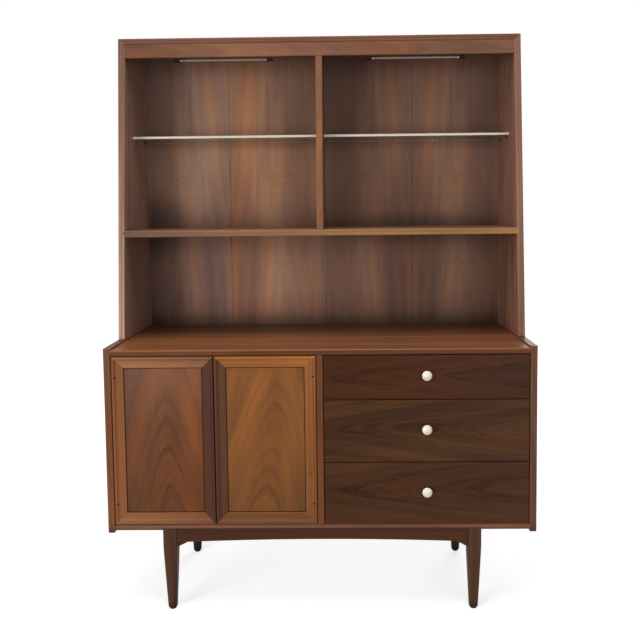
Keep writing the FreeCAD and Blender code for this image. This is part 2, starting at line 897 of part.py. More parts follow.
def side_apron_right():
    outer = leg_x + leg_width / 2
    y0 = leg_front_y + leg_width / 2
    y1 = leg_back_y - leg_width / 2
    low = leg_height - apron_side_height
    x0 = outer - apron_thick
    wire = Part.Wire([
        Part.LineSegment(at(x0, y0, leg_height), at(x0, y1, leg_height)).toShape(),
        Part.LineSegment(at(x0, y1, leg_height), at(x0, y1, low)).toShape(),
        Part.Arc(at(x0, y1, low), at(x0, (y0 + y1) / 2, low + apron_side_arch),
                 at(x0, y0, low)).toShape(),
        Part.LineSegment(at(x0, y0, low), at(x0, y0, leg_height)).toShape(),
    ])
    apron = Part.Face(wire).extrude(at(apron_thick, 0, 0))
    for place in apron_screw_places:
        if place.x > 0:
            well = rod(screw_head_radius + counterbore_gap, place, at(0, 0, -1),
                       apron_side_height)
            apron = apron.cut(screw_hole(place, up_way, screw_length)).cut(well)
    return apron


apron_screw_x = leg_x + leg_width / 2 - apron_thick / 2
apron_screw_z = leg_height + apron_screw_bite - screw_length
apron_screw_places = [at(way * apron_screw_x, y, apron_screw_z) for way in (-1, 1)
                      for y in (leg_front_y + apron_screw_inset, leg_back_y - apron_screw_inset)]


# Hutch

def sloped_board(low, high, front_offset, depth_or_back, x0, x1):
    """A board whose front face follows the slope of the hutch."""
    corners = [(hutch_front(low) + front_offset, low), (hutch_front(high) + front_offset, high)]
    corners += depth_or_back
    return prism_along_x(corners, x0, x1)


def on_slope(p, offset=0):
    return near(p.y, hutch_front(p.z) + offset)


def slope_groove(x_middle):
    """The fine groove down the middle of a sloping front edge."""
    half_groove = bead_groove_width / 2
    foot = hutch_front(hutch_low)
    corners = [at(x_middle - half_groove, foot, hutch_low),
               at(x_middle + half_groove, foot, hutch_low),
               at(x_middle, foot + bead_groove_depth, hutch_low)]
    return prism(corners, at(0, hutch_front(hutch_high) - foot, hutch_high - hutch_low))


def hutch_mitre_outline():
    """The front view of the hutch top, whose ends meet the sides on the mitre."""
    return [(-half_width, hutch_high), (half_width, hutch_high),
            (inner, hutch_ceiling), (-inner, hutch_ceiling)]


def hutch_side_blank():
    """The right side before its shelf pins are drilled."""
    side = sloped_board(hutch_low, hutch_high, 0,
                        [(back_face, hutch_high), (back_face, hutch_low)], inner, half_width)
    side = rounded(side, edge_round,
                   lambda p: on_slope(p) and (near(p.x, inner) or near(p.x, half_width)))
    mitre = prism_along_y(hutch_mitre_outline(), 0, back_face + overrun)
    side = side.cut(mitre)
    side = side.cut(slope_groove((inner + half_width) / 2))
    side = side.cut(block(inner, inner + back_rabbet, back_front, back_face + overrun,
                          hutch_low - overrun, hutch_ceiling + back_rabbet))
    return let_in_plate(side.cut(hutch_shelf()))


def hutch_top():
    top = sloped_board(hutch_ceiling, hutch_high, 0,
                       [(back_face, hutch_high), (back_face, hutch_ceiling)],
                       -half_width, half_width)
    top = rounded(top, edge_round, lambda p: on_slope(p) and
                  (near(p.z, hutch_high) or near(p.z, hutch_ceiling)))
    top = top.common(prism_along_y(hutch_mitre_outline(), 0, back_face + overrun))
    middle = (hutch_ceiling + hutch_high) / 2
    half_groove = bead_groove_width / 2
    front = hutch_front(middle)
    vee = [(front, middle - half_groove), (front, middle + half_groove),
           (front + bead_groove_depth, middle)]
    top = top.cut(prism_along_x(vee, -half_width, half_width))
    reach = inner + back_rabbet
    return top.cut(block(-reach, reach, back_front, back_face + overrun,
                         hutch_ceiling - overrun, hutch_ceiling + back_rabbet))


def hutch_valance():
    valance = sloped_board(valance_low, hutch_ceiling, valance_setback,
                           [(hutch_front(hutch_ceiling) + valance_setback + valance_thick,
                             hutch_ceiling),
                            (hutch_front(valance_low) + valance_setback + valance_thick,
                             valance_low)], -inner, inner)
    return rounded(valance, valance_round,
                   lambda p: on_slope(p, valance_setback) and near(p.z, valance_low))


def hutch_shelf():
    """The middle shelf, let into the sides so that its ends show on their front edges."""
    front = hutch_front((hutch_shelf_low + hutch_shelf_high) / 2)
    reach = inner + hutch_shelf_inlet
    shelf = block(-reach, reach, front, back_front, hutch_shelf_low, hutch_shelf_high)
    return rounded(shelf, hutch_shelf_round, lambda p: near(p.y, front), across_way)


def hutch_divider():
    """The upright board over the middle shelf, notched round the valance."""
    notch_back = hutch_front(hutch_ceiling) + valance_setback + valance_thick
    notch_low = hutch_front(valance_low) + valance_setback + valance_thick
    corners = [(hutch_front(hutch_shelf_high), hutch_shelf_high),
               (hutch_front(valance_low), valance_low),
               (notch_low, valance_low), (notch_back, hutch_ceiling),
               (back_front, hutch_ceiling), (back_front, hutch_shelf_high)]
    divider = prism_along_x(corners, -divider_face, divider_face)
    divider = rounded(divider, upright_round, lambda p: on_slope(p)
                      and near(abs(p.x), divider_face), up_way)
    places = [place for place in glass_pins_left if place[3] < 0]
    places += [place for place in glass_pins_right if place[3] > 0]
    return drill_pins(divider, places)


def glass_shelf_right():
    shelf = block(divider_face + glass_side_gap, inner - glass_side_gap, glass_front, glass_back,
                  glass_low, glass_low + glass_thick)
    return rounded(shelf, glass_edge_round, lambda p: near(p.y, glass_front))


# Lamps behind the valance

lamp_y = (hutch_front(valance_low) + valance_setback + valance_thick + lamp_behind_valance
          + lamp_housing_depth / 2)
lamp_socket_low = hutch_ceiling - lamp_housing_height - lamp_socket_drop
lamp_axis_z = lamp_socket_low + lamp_tube_above_socket_end
lamp_offset = divider_face + lamp_from_divider + lamp_socket_length + lamp_tube_length / 2


def lamp_housing(x):
    half = lamp_tube_length / 2 + lamp_socket_length
    housing = block(x - half, x + half, lamp_y - lamp_housing_depth / 2,
                    lamp_y + lamp_housing_depth / 2, hutch_ceiling - lamp_housing_height,
                    hutch_ceiling)
    low = hutch_ceiling - lamp_housing_height
    return rounded(housing, lamp_housing_round, lambda p: near(p.z, low)
                   and near(abs(p.y - lamp_y), lamp_housing_depth / 2), across_way)


def lamp_pins(x, way, radius):
    """The two contact pins at one end of a tube."""
    end = x + way * lamp_tube_length / 2
    pins = []
    for side in (-1, 1):
        start = at(end, lamp_y + side * lamp_pin_spacing / 2, lamp_axis_z)
        pins.append(rod(radius, start, at(way, 0, 0), lamp_pin_length))
    return pins


def lamp_sockets(x):
    sockets = []
    for way in (-1, 1):
        x0 = x + way * lamp_tube_length / 2
        x1 = x0 + way * lamp_socket_length
        socket = block(min(x0, x1), max(x0, x1), lamp_y - lamp_socket_width / 2,
                       lamp_y + lamp_socket_width / 2, lamp_socket_low,
                       hutch_ceiling - lamp_housing_height)
        socket = rounded(socket, lamp_socket_round, lambda p: near(p.z, lamp_socket_low)
                         and near(abs(p.y - lamp_y), lamp_socket_width / 2), across_way)
        for pin in lamp_pins(x, way, lamp_pin_radius + lamp_pin_gap):
            socket = socket.cut(pin)
        sockets.append(socket)
    return sockets


def lamp_tube(x):
    """The tube with a metal cap and two pins at each end."""
    start = at(x - lamp_tube_length / 2, lamp_y, lamp_axis_z)
    tube = rod(lamp_tube_radius, start, across_way, lamp_tube_length)
    for way in (-1, 1):
        end = at(x + way * lamp_tube_length / 2, lamp_y, lamp_axis_z)
        tube = tube.fuse(rod(lamp_cap_radius, end, at(-way, 0, 0), lamp_cap_length))
        for pin in lamp_pins(x, way, lamp_pin_radius):
            tube = tube.fuse(pin)
    return tube


# Screws of the case

def case_screws():
    joining = [countersunk_screw(at(plate_x, back_face, height), front_way, screw_length)
               for height in plate_screw_heights]
    screws = joining + [mirrored(screw) for screw in joining]
    for place in apron_screw_places:
        screws.append(countersunk_screw(place, up_way, screw_length))
    return screws


# Build the base
side_blank = base_side_right()
save("base_side_right", side_blank)
save("base_side_left", drill_pins(mirrored(side_blank),
                                  [place for place in cupboard_pins if place[3] > 0]))
save("base_top", base_top())
save("base_bottom", base_bottom())
save("base_upright", drill_pins(base_upright(),
                                [place for place in cupboard_pins if place[3] < 0]))
save("base_back", back_panel(leg_height, top_face))
save("cupboard_shelf", cupboard_shelf())
save("shelf_pins", *[shelf_pin(*place) for place in all_pins])
save("hinge_plates", *case_hinge_plates())
save("door_catches", *door_catches())
save("drawer_runners", *drawer_runners())

# Build the doors and drawers
make_door("left", door_left_x, 1)
make_door("right", door_right_x, -1)
for drawer_name, drawer_low, drawer_height in zip(drawer_names, drawer_lows(), drawer_heights):
    make_drawer(drawer_name, drawer_low, drawer_height)

# Build the leg frame
save("leg_front_left", leg(-leg_x, leg_front_y, True))
save("leg_front_right", leg(leg_x, leg_front_y, True))
save("leg_back_left", leg(-leg_x, leg_back_y, False))
save("leg_back_right", leg(leg_x, leg_back_y, False))
save("apron_front", long_apron(leg_setback, True))
save("apron_back", long_apron(leg_back_y + leg_width / 2 - apron_thick, False))
side_apron = side_apron_right()
save("apron_sides", side_apron, mirrored(side_apron))
save("glides", *[glide(x, y) for x in (-leg_x, leg_x) for y in (leg_front_y, leg_back_y)])

# Build the hutch
side_blank = hutch_side_blank()
save("hutch_side_right", drill_pins(side_blank,
                                    [place for place in glass_pins_right if place[3] < 0]))
save("hutch_side_left", drill_pins(mirrored(side_blank),
                                   [place for place in glass_pins_left if place[3] > 0]))
save("hutch_top", hutch_top())
save("hutch_valance", hutch_valance())
save("hutch_shelf", hutch_shelf())
save("hutch_divider", hutch_divider())
save("hutch_back", back_panel(top_face, hutch_ceiling + back_rabbet - back_play))
glass = glass_shelf_right()
save("glass_shelf_right", glass)
save("glass_shelf_left", mirrored(glass))
save("lamp_housings", lamp_housing(-lamp_offset), lamp_housing(lamp_offset))
save("lamp_sockets", *lamp_sockets(-lamp_offset), *lamp_sockets(lamp_offset))
save("lamp_tubes", lamp_tube(-lamp_offset), lamp_tube(lamp_offset))

# Join the two parts
joining_plate = drill_plate_screws(joining_plate_blank())
save("joining_plates", joining_plate, mirrored(joining_plate))
save("case_screws", *case_screws())
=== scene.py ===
import math

import bpy
from mathutils import Matrix, Vector


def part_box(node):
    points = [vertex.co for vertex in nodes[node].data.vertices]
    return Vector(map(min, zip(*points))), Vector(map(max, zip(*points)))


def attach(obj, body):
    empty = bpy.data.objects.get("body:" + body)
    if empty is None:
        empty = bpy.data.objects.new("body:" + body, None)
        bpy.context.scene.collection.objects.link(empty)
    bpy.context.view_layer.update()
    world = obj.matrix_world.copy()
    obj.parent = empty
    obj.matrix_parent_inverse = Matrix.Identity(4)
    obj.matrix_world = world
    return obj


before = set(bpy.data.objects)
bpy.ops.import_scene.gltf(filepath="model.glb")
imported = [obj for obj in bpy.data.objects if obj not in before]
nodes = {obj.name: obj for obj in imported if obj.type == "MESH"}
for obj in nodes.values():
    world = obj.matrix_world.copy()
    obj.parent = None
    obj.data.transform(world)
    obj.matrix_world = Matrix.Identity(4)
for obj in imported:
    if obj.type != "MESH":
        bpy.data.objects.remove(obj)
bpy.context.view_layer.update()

print("frame loaded:", len(nodes), "pieces")


# a method that adds a Math node, with its value second in the sum where it is turned
def maths(operation, turned=False):
    def addNode(self, other=0.0):
        first, second = (other, self) if turned else (self, other)
        return self.sheet.node("ShaderNodeMath", {"operation": operation}, {0: first, 1: second})
    return addNode


# A value in a node tree. Its operators add Math nodes, so a pattern is written as a sum.
class Value:
    def __init__(self, sheet, socket):
        self.sheet = sheet
        self.socket = socket

    __add__ = maths("ADD")
    __radd__ = maths("ADD", turned=True)
    __sub__ = maths("SUBTRACT")
    __rsub__ = maths("SUBTRACT", turned=True)
    __mul__ = maths("MULTIPLY")
    __rmul__ = maths("MULTIPLY", turned=True)
    __truediv__ = maths("DIVIDE")
    fract = maths("FRACT")
    root = maths("SQRT")
    size = maths("ABSOLUTE")
    least = maths("MINIMUM")
    most = maths("MAXIMUM")
    folded = maths("PINGPONG")  # back and forth at a width, as veneer leaves opened like a book

    # 0 below the first limit, 1 above the second, smooth between them
    def step(self, low, high):
        settings = {"interpolation_type": "SMOOTHSTEP"}
        return self.sheet.node("ShaderNodeMapRange", settings, {0: self, 1: low, 2: high})


# A node tree that is being drawn.
class Sheet:
    def __init__(self, tree):
        self.tree = tree
        tree.nodes.clear()

    def node(self, kind, settings, inputs, output=0):
        made = self.tree.nodes.new(kind)
        for key, value in settings.items():
            if key == "stops":
                setStops(made.color_ramp, value)
            else:
                setattr(made, key, value)
        for key, value in inputs.items():
            feed(self.tree, made.inputs[key], value)
        return Value(self, made.outputs[output] if made.outputs else None)

    def parts(self, vector):
        split = self.node("ShaderNodeSeparateXYZ", {}, {0: vector}).socket.node
        return [Value(self, output) for output in split.outputs]

    def place(self):
        return self.parts(self.node("ShaderNodeTexCoord", {}, {}, "Object"))

    def facing(self):
        return self.node("ShaderNodeNewGeometry", {}, {}, "True Normal")

    def point(self, x, y, z):
        return self.node("ShaderNodeCombineXYZ", {}, {0: x, 1: y, 2: z})

    def noise(self, where, detail=2.0, rough=0.5):
        return self.node("ShaderNodeTexNoise", {}, {
            "Vector": where, "Scale": 1.0, "Detail": detail, "Roughness": rough})

    # noise by the place on the piece, as fine along x, y and z as it says
    def speckle(self, spot, fineness, detail=2.0, rough=0.5):
        where = self.point(*[axis * fine for axis, fine in zip(spot, fineness)])
        return self.noise(where, detail, rough)

    # noise along a single value
    def waver(self, value, detail=1.0):
        return self.node("ShaderNodeTexNoise", {"noise_dimensions": "1D"}, {
            "W": value, "Scale": 1.0, "Detail": detail})

    def ramp(self, value, stops):
        return self.node("ShaderNodeValToRGB", {"stops": stops}, {0: value})

    def blend(self, amount, first, second, way="MIX"):
        settings = {"data_type": "RGBA", "blend_type": way, "clamp_factor": True}
        return self.node("ShaderNodeMix", settings, {0: amount, 6: first, 7: second}, 2)

    def shaded(self, amount, colour, tint):
        return self.blend(amount, colour, tint, "MULTIPLY")

    def bump(self, height, strength, distance):
        return self.node("ShaderNodeBump", {}, {
            "Height": height, "Strength": strength, "Distance": distance})

    def shader(self, inputs):
        return self.node("ShaderNodeBsdfPrincipled", {}, inputs)

    def close(self, surface, kind="ShaderNodeOutputMaterial"):
        self.node(kind, {}, {0: surface})


def feed(tree, socket, value):
    if isinstance(value, Value):
        tree.links.new(value.socket, socket)
    elif socket.type == "RGBA":
        socket.default_value = (*value, 1.0)
    else:
        socket.default_value = value


def setStops(ramp, stops):
    while len(ramp.elements) < len(stops):
        ramp.elements.new(1.0)
    for element, (place, colour) in zip(ramp.elements, stops):
        element.position = place
        element.color = (*colour, 1.0)


# a material whose drawing turns a sheet, the place on the piece and a look into a surface
def newMaterial(name, draw, look):
    material = bpy.data.materials.new(name)
    material.use_nodes = True
    sheet = Sheet(material.node_tree)
    sheet.close(draw(sheet, sheet.place(), look))
    return material


# a colour as the eye reads it, 0 to 255, made linear for the shaders
def tone(red, green, blue):
    def linear(level):
        share = level / 255
        if share <= 0.04045:
            return share / 12.92
        return ((share + 0.055) / 1.055) ** 2.4
    return linear(red), linear(green), linear(blue)


def scaled(colour, red, green, blue):
    return colour[0] * red, colour[1] * green, colour[2] * blue


def grey(level):
    return level, level, level


def ofDrawers(part):
    return ["drawer_" + level + "_" + part for level in ("top", "middle", "bottom")]


def paint(names, material):
    for name in names:
        slots = nodes[name].data.materials
        slots.clear()
        slots.append(material)


# Walnut

# which axes run along the grain, across the face and into the board
grainWays = {
    "upright": (2, 0, 1), "uprightSide": (2, 1, 0),
    "level": (0, 2, 1), "levelFlat": (0, 1, 2),
    "deep": (1, 2, 0),
}

# Lengths and places are in metres, in the cabinet's own frame. The tone is the wood's middle
# colour. The pith is the middle of the tree: its place across the board, and how far it lies
# behind the face. A taper ends the rings in peaks that point away from the tip, and a lean sets
# them aslant. Peaks that show clearly are listed by their place along the grain and how dark
# they are. A knot has its place across and along and its size, and eyes is how dark the knots'
# middles are. A curl is a thin dark line that waves across the grain, with its place across and
# along, its reach and how dark it is. Tints go by the place along the grain, by the same on the
# front edge alone, by the place across, and by the depth. A patch is an oval of another tint,
# with its place and its reach, each across and then along. Leaves of veneer start at leafStart,
# each as wide as leaf, and rearTint lightens the bare side that faces the wall.
walnutLook = {
    "grain": "upright",
    "tone": tone(110, 72, 48),
    "pith": (0.0, 0.06),
    "ring": 0.012,
    "taper": 0.0,
    "tip": 0.0,
    "lean": 0.0,
    "peaks": [],
    "peakReach": 0.09,
    "wander": 0.03,
    "ripple": 0.004,
    "feather": 0.0012,
    "figure": 0.55,
    "streaks": 0.22,
    "broad": 0.45,
    "fibres": 0.12,
    "pores": 0.35,
    "pigment": 0.15,
    "warm": 0.6,
    "cool": 0.5,
    "wear": 0.35,
    "rounding": 0.22,
    "knots": [],
    "eyes": 0.2,
    "curls": [],
    "lengthTints": [],
    "frontTints": [],
    "widthTints": [],
    "deepTints": [],
    "patches": [],
    "rearTint": None,
    "leaf": 0.0,
    "leafStart": 0.0,
    "roughness": 0.42,
    "gloss": 0.10,
    "seed": 0.0,
}
noiseMiddle = 0.5

# each layer of the grain: how fine it is across and along, its seed, detail and roughness
grainLayers = {
    "sway": (3.2, 0.9, 0.0, 2.0, 0.5),
    "ripple": (17.0, 3.6, 7.0, 3.0, 0.68),
    "feather": (95.0, 8.0, 13.0, 2.0, 0.5),
    "curl": (42.0, 5.0, 0.0, 2.0, 0.5),
    "streak": (75.0, 1.7, 3.0, 4.0, 0.6),
    "fibre": (520.0, 9.0, 11.0, 2.0, 0.5),
    "pore": (900.0, 38.0, 17.0, 1.0, 0.5),
    "broad": (8.0, 1.6, 23.0, 3.0, 0.5),
    "pigment": (34.0, 0.9, 29.0, 3.0, 0.5),
}

# Across the rings there are broad and fine changes, and a dark line of late wood at each
# ring's end. A listed peak is a band that is sharp on its outer side and fades on its inner
# side, by lengths across the rings, and that shows in full over a core of its reach.
ringLook = {
    "bandRings": 0.25, "bandSeed": 3.0, "bandDark": 0.9,
    "fineSeed": 5.0, "fineDetail": 3.0, "fineDark": 0.9,
    "unevenRings": 0.37, "uneven": 2.6,
    "lateWood": [(0.0, grey(0.2)), (0.12, grey(0.0)), (0.5, grey(0.1)), (0.85, grey(0.6)),
                 (0.95, grey(1.0)), (1.0, grey(0.2))],
    "lateMiddle": 0.3, "lateDark": 0.14,
    "peakOutside": 0.0014, "peakInside": 0.0075, "peakRoom": 0.85,
    "peakCore": 0.2, "peakDark": 1.1,
}
# a knot's outline, how far it bends the rings and how much, and its eye, in sizes of the knot
knotLook = {"stretch": 1.4, "ragged": 3.0, "reach": 3.2, "bend": 1.1, "eye": (0.1, 1.5)}
curlLook = {"seedStep": 9.0, "swing": 0.075, "core": 0.3, "line": (0.0006, 0.0046)}


# a layer of the grain, as noise that is drawn out along it
def drawn(sheet, axes, layer, seed):
    fineAcross, fineAlong, layerSeed, detail, rough = grainLayers[layer]
    along, across, deep = axes
    start = seed + layerSeed
    where = sheet.point(across * fineAcross + start, deep * fineAcross - start,
                        along * fineAlong)
    return sheet.noise(where, detail, rough)


def peakBands(sheet, climb, look):
    inside, outside = ringLook["peakInside"], ringLook["peakOutside"]
    bands = sorted(((place - look["tip"]) * look["taper"], dark)
                   for place, dark in look["peaks"])
    low = bands[0][0] - inside * 2
    span = bands[-1][0] + outside * 2 - low
    stops = [(0.0, grey(0.0))]
    last = low
    for height, dark in bands:
        fade = min(inside, (height - last) * ringLook["peakRoom"])
        for place, level in ((height - fade, 0.0), (height, dark), (height + outside, 0.0)):
            stops.append(((place - low) / span, grey(level)))
        last = height + outside
    return sheet.ramp((climb - low) / span, stops)


# how dark the figure is at each place, the slow change over the rings, and the knots' eyes
def ringFigure(sheet, axes, look):
    along, across, deep = axes
    seed = look["seed"]
    pithAcross, pithDeep = look["pith"]
    length = along - look["tip"]
    sway, ripple, feather = [drawn(sheet, axes, layer, seed) - noiseMiddle
                             for layer in ("sway", "ripple", "feather")]
    reach = across - pithAcross - length * look["lean"] + sway * look["wander"]
    depth = deep + pithDeep
    radius = ((reach * reach + depth * depth).root() + ripple * look["ripple"]
              + feather * look["feather"])
    eye = None
    for knotAcross, knotAlong, size in look["knots"]:
        side = (across - knotAcross) / size
        ahead = (along - knotAlong) / (size * knotLook["stretch"])
        far = (side * side + ahead * ahead).root() + ripple * knotLook["ragged"]
        close = 1 - far.step(0.0, knotLook["reach"])
        radius = radius + close * close * (size * knotLook["bend"])
        middle = 1 - far.step(*knotLook["eye"])
        eye = middle if eye is None else eye.most(middle)
    climb = radius - pithDeep + length * look["taper"]
    rings = climb / look["ring"]
    band = sheet.waver(rings * ringLook["bandRings"] + seed * ringLook["bandSeed"])
    fine = sheet.waver(rings + seed * ringLook["fineSeed"], ringLook["fineDetail"])
    stray = sheet.waver(rings * ringLook["unevenRings"] + seed) - noiseMiddle
    late = sheet.ramp((rings + stray * ringLook["uneven"]).fract(), ringLook["lateWood"])
    dark = ((noiseMiddle - band) * ringLook["bandDark"]
            + (noiseMiddle - fine) * ringLook["fineDark"]
            + (late - ringLook["lateMiddle"]) * ringLook["lateDark"])
    if look["peaks"]:
        near = 1 - reach.size().step(look["peakReach"] * ringLook["peakCore"], look["peakReach"])
        dark = dark + peakBands(sheet, climb, look) * near * ringLook["peakDark"]
    return dark, band, eye


# how dark the curls are at each place
def curlLines(sheet, axes, look):
    along, across, deep = axes
    lines = None
    for curlAcross, curlAlong, reach, strength in look["curls"]:
        seed = look["seed"] + curlAlong * curlLook["seedStep"]
        wave = drawn(sheet, axes, "curl", seed) - noiseMiddle
        off = (along - curlAlong + wave * curlLook["swing"]).size()
        near = 1 - (across - curlAcross).size().step(reach * curlLook["core"], reach)
        line = (1 - off.step(*curlLook["line"])) * near * strength
        lines = line if lines is None else lines.most(line)
    return lines


# Each pair says where a layer starts to show and where it shows in full. The levels are the
# wood's colours from dark to light, as shares of its tone.
woodLook = {
    "level": 0.54,
    "levels": [(0.0, (0.34, 0.29, 0.30)), (0.3, (0.70, 0.65, 0.67)), (0.55, (1.02, 1.02, 1.02)),
               (0.78, (1.30, 1.36, 1.30)), (1.0, (1.6, 1.75, 1.6))],
    "warmBand": (0.46, 0.62), "warmTint": (1.16, 0.99, 0.78),
    "coolBand": (0.60, 0.40), "coolTint": (0.86, 0.91, 0.98),
    "pigmentBand": (0.56, 0.72), "poreBand": (0.60, 0.72), "darkTint": grey(0.5),
    "seamBand": (0.0004, 0.005), "seamAmount": 0.45, "seamTint": grey(0.4),
    "squareOn": (0.5, 0.9), "patchFade": (0.25, 1.0),
    "fibreRoughness": 0.12, "poreRoughness": 0.1, "ior": 1.48,
    "poreDepth": 1.5, "bump": (0.16, 0.0006),
}
# edges are lightened in streaks, partly as rubbed raw wood and partly as a painted highlight, and
# rounded edges that don't look down get a painted highlight
edgeLook = {
    "edgeMarkWidth": 0.0022, "edgeMarkSamples": 4, "edgeMarkBand": (0.03, 0.3), "edgeMarkStreaks": (0.35, 0.65),
    "wearAndHighlightTint": (1.8, 1.8, 1.8),
    "turnedBand": (0.82, 0.98), "notUnder": (-0.5, -0.1), "paintedHighlight": 0.6, "streakHighlight": 0.8,
    "highlightTint": (2.6, 2.4, 2.3),
}


def rubbedAndHighlitEdges(sheet, streak):
    soft = sheet.node("ShaderNodeBevel", {"samples": edgeLook["edgeMarkSamples"]},
                      {"Radius": edgeLook["edgeMarkWidth"]})
    along = sheet.node("ShaderNodeVectorMath", {"operation": "DOT_PRODUCT"},
                       {0: soft, 1: sheet.facing()}, "Value")
    return (1 - along).step(*edgeLook["edgeMarkBand"]) * streak.step(*edgeLook["edgeMarkStreaks"])


# the faces that are turned away from the axes and don't look down, where the painted highlight
# goes
def roundedEdges(sheet):
    x, y, z = sheet.parts(sheet.facing())
    turned = 1 - x.size().most(y.size()).most(z.size()).step(*edgeLook["turnedBand"])
    return turned * z.step(*edgeLook["notUnder"])


# a colour tinted by its place along a line, with the tints as places and colours
def tinted(sheet, amount, colour, where, low, high, tints):
    stops = [((place - low) / (high - low), tint) for place, tint in tints]
    tint = sheet.ramp((where - low) / (high - low), stops)
    return sheet.shaded(amount, colour, tint)


def patched(sheet, amount, colour, across, along, patch):
    middleAcross, middleAlong, reachAcross, reachAlong, tint = patch
    side = (across - middleAcross) / reachAcross
    ahead = (along - middleAlong) / reachAlong
    close = 1 - (side * side + ahead * ahead).root().step(*woodLook["patchFade"])
    return sheet.shaded(close * amount, colour, tint)


# a bare rear side has none of the front's tints, which are for what shows there
def boardTints(sheet, colour, spot, look):
    low, high = look["box"]
    alongAxis, acrossAxis, deepAxis = grainWays[look["grain"]]
    rearward = sheet.parts(sheet.facing())[1]
    rear = rearward.step(*woodLook["squareOn"]) if look["rearTint"] else None
    front = (rearward * -1.0).step(*woodLook["squareOn"]) if look["frontTints"] else None
    seen = 1 - rear if rear else 1.0
    for amount, axis, tints in ((seen, alongAxis, "lengthTints"), (front, alongAxis, "frontTints"),
                                (seen, acrossAxis, "widthTints"), (1.0, deepAxis, "deepTints")):
        if look[tints]:
            colour = tinted(sheet, amount, colour, spot[axis], low[axis], high[axis], look[tints])
    for patch in look["patches"]:
        colour = patched(sheet, seen, colour, spot[acrossAxis], spot[alongAxis], patch)
    if rear:
        colour = sheet.shaded(rear, colour, look["rearTint"])
    return colour


def walnut(sheet, spot, look):
    low, high = look["box"]
    alongAxis, acrossAxis, deepAxis = grainWays[look["grain"]]
    across = spot[acrossAxis]
    if look["leaf"]:
        across = (across - look["leafStart"]).folded(look["leaf"])
    axes = (spot[alongAxis], across, spot[deepAxis] - (low[deepAxis] + high[deepAxis]) / 2)
    dark, band, eye = ringFigure(sheet, axes, look)
    streak, fibre, pore, broad, pigment = [
        drawn(sheet, axes, layer, look["seed"])
        for layer in ("streak", "fibre", "pore", "broad", "pigment")]
    pore = pore.step(*woodLook["poreBand"])
    pigment = pigment.step(*woodLook["pigmentBand"])
    level = (woodLook["level"] - dark * look["figure"] + (streak - noiseMiddle) * look["streaks"]
             + (fibre - noiseMiddle) * look["fibres"] + (broad - noiseMiddle) * look["broad"])
    if eye:
        level = level - eye * look["eyes"]
    if look["curls"]:
        level = level - curlLines(sheet, axes, look)
    wood = look["tone"]
    colour = sheet.ramp(level, [(place, scaled(wood, *share))
                                for place, share in woodLook["levels"]])
    warm = band.step(*woodLook["warmBand"])
    cool = broad.step(*woodLook["coolBand"])
    colour = sheet.shaded(warm * look["warm"], colour, woodLook["warmTint"])
    colour = sheet.shaded(cool * look["cool"], colour, woodLook["coolTint"])
    colour = sheet.shaded(pigment * look["pigment"], colour, woodLook["darkTint"])
    colour = sheet.shaded(pore * look["pores"], colour, woodLook["darkTint"])
    colour = boardTints(sheet, colour, spot, look)
    if look["leaf"]:
        seam = 1 - across.least(look["leaf"] - across).step(*woodLook["seamBand"])
        colour = sheet.shaded(seam * woodLook["seamAmount"], colour, woodLook["seamTint"])
    # lighter streaks on the edges: partly rubbed wear, partly painted highlight
    wornAndHighlit = rubbedAndHighlitEdges(sheet, streak) * look["wear"]
    colour = sheet.blend(wornAndHighlit, colour, scaled(wood, *edgeLook["wearAndHighlightTint"]))
    # painted highlight on the rounded edges that don't look down
    paintedHighlight = streak * edgeLook["streakHighlight"] + edgeLook["paintedHighlight"]
    colour = sheet.blend(roundedEdges(sheet) * look["rounding"] * paintedHighlight, colour,
                         scaled(wood, *edgeLook["highlightTint"]))
    return sheet.shader({
        "Base Color": colour,
        "Roughness": (look["roughness"] + (fibre - noiseMiddle) * woodLook["fibreRoughness"]
                      + pore * woodLook["poreRoughness"]),
        "IOR": woodLook["ior"],
        "Specular IOR Level": look["gloss"],
        "Normal": sheet.bump(fibre - pore * woodLook["poreDepth"], *woodLook["bump"]),
    })


def dressWoods(woods):
    for name, changes in woods.items():
        look = {**walnutLook, **changes, "box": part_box(changes["pieces"][0])}
        paint(look["pieces"], newMaterial(name, walnut, look))


# the sides are darker at their lower ends
endTints = [(0.264, (0.45, 0.42, 0.45)), (0.280, (0.75, 0.72, 0.74)), (0.300, (1.0, 1.0, 1.0))]
baseWoods = {
    "baseSideLeft": {
        "pieces": ["base_side_left"], "grain": "uprightSide", "tone": tone(112, 71, 50),
        "pith": (0.03, 0.09), "taper": 0.05, "tip": 0.6, "seed": 1.0, "lengthTints": endTints},
    "baseSideRight": {
        "pieces": ["base_side_right"], "grain": "uprightSide", "tone": tone(101, 67, 52),
        "pith": (-0.02, 0.09), "taper": 0.05, "tip": 0.7, "seed": 5.0, "lengthTints": endTints},
    "baseTop": {
        "pieces": ["base_top"], "grain": "levelFlat", "tone": tone(118, 75, 47), "rounding": 0.26,
        "pith": (-0.09, 0.05), "taper": -0.025, "tip": -0.3, "streaks": 0.35, "gloss": 0.15,
        "roughness": 0.36, "seed": 9.0,
        # frontTints: painted shade on the front face of the top
        "frontTints": [(-0.65, (0.54, 0.40, 0.30)), (0.65, (0.51, 0.38, 0.25))],
        # widthTints: painted light towards the front, painted shadow and painted reflection of the
        # dark back towards the rear
        "widthTints": [(-0.20, (1.12, 1.14, 1.12)), (-0.07, (1.02, 1.02, 1.04)),
                       (0.0, (1.10, 1.08, 1.08)), (0.04, (1.02, 1.0, 1.04)),
                       (0.08, (0.70, 0.72, 0.80)), (0.12, (0.76, 0.84, 0.96)),
                       (0.20, (0.74, 1.04, 1.45))]},
    "baseBottom": {
        "pieces": ["base_bottom", "cupboard_shelf"], "grain": "levelFlat",
        "tone": tone(112, 76, 60), "pith": (0.1, 0.08), "taper": 0.02, "rounding": 0.12,
        "seed": 13.0},
    "baseUpright": {
        "pieces": ["base_upright"], "grain": "uprightSide", "tone": tone(105, 63, 38),
        "pith": (0.3, 0.1), "seed": 15.0},
}

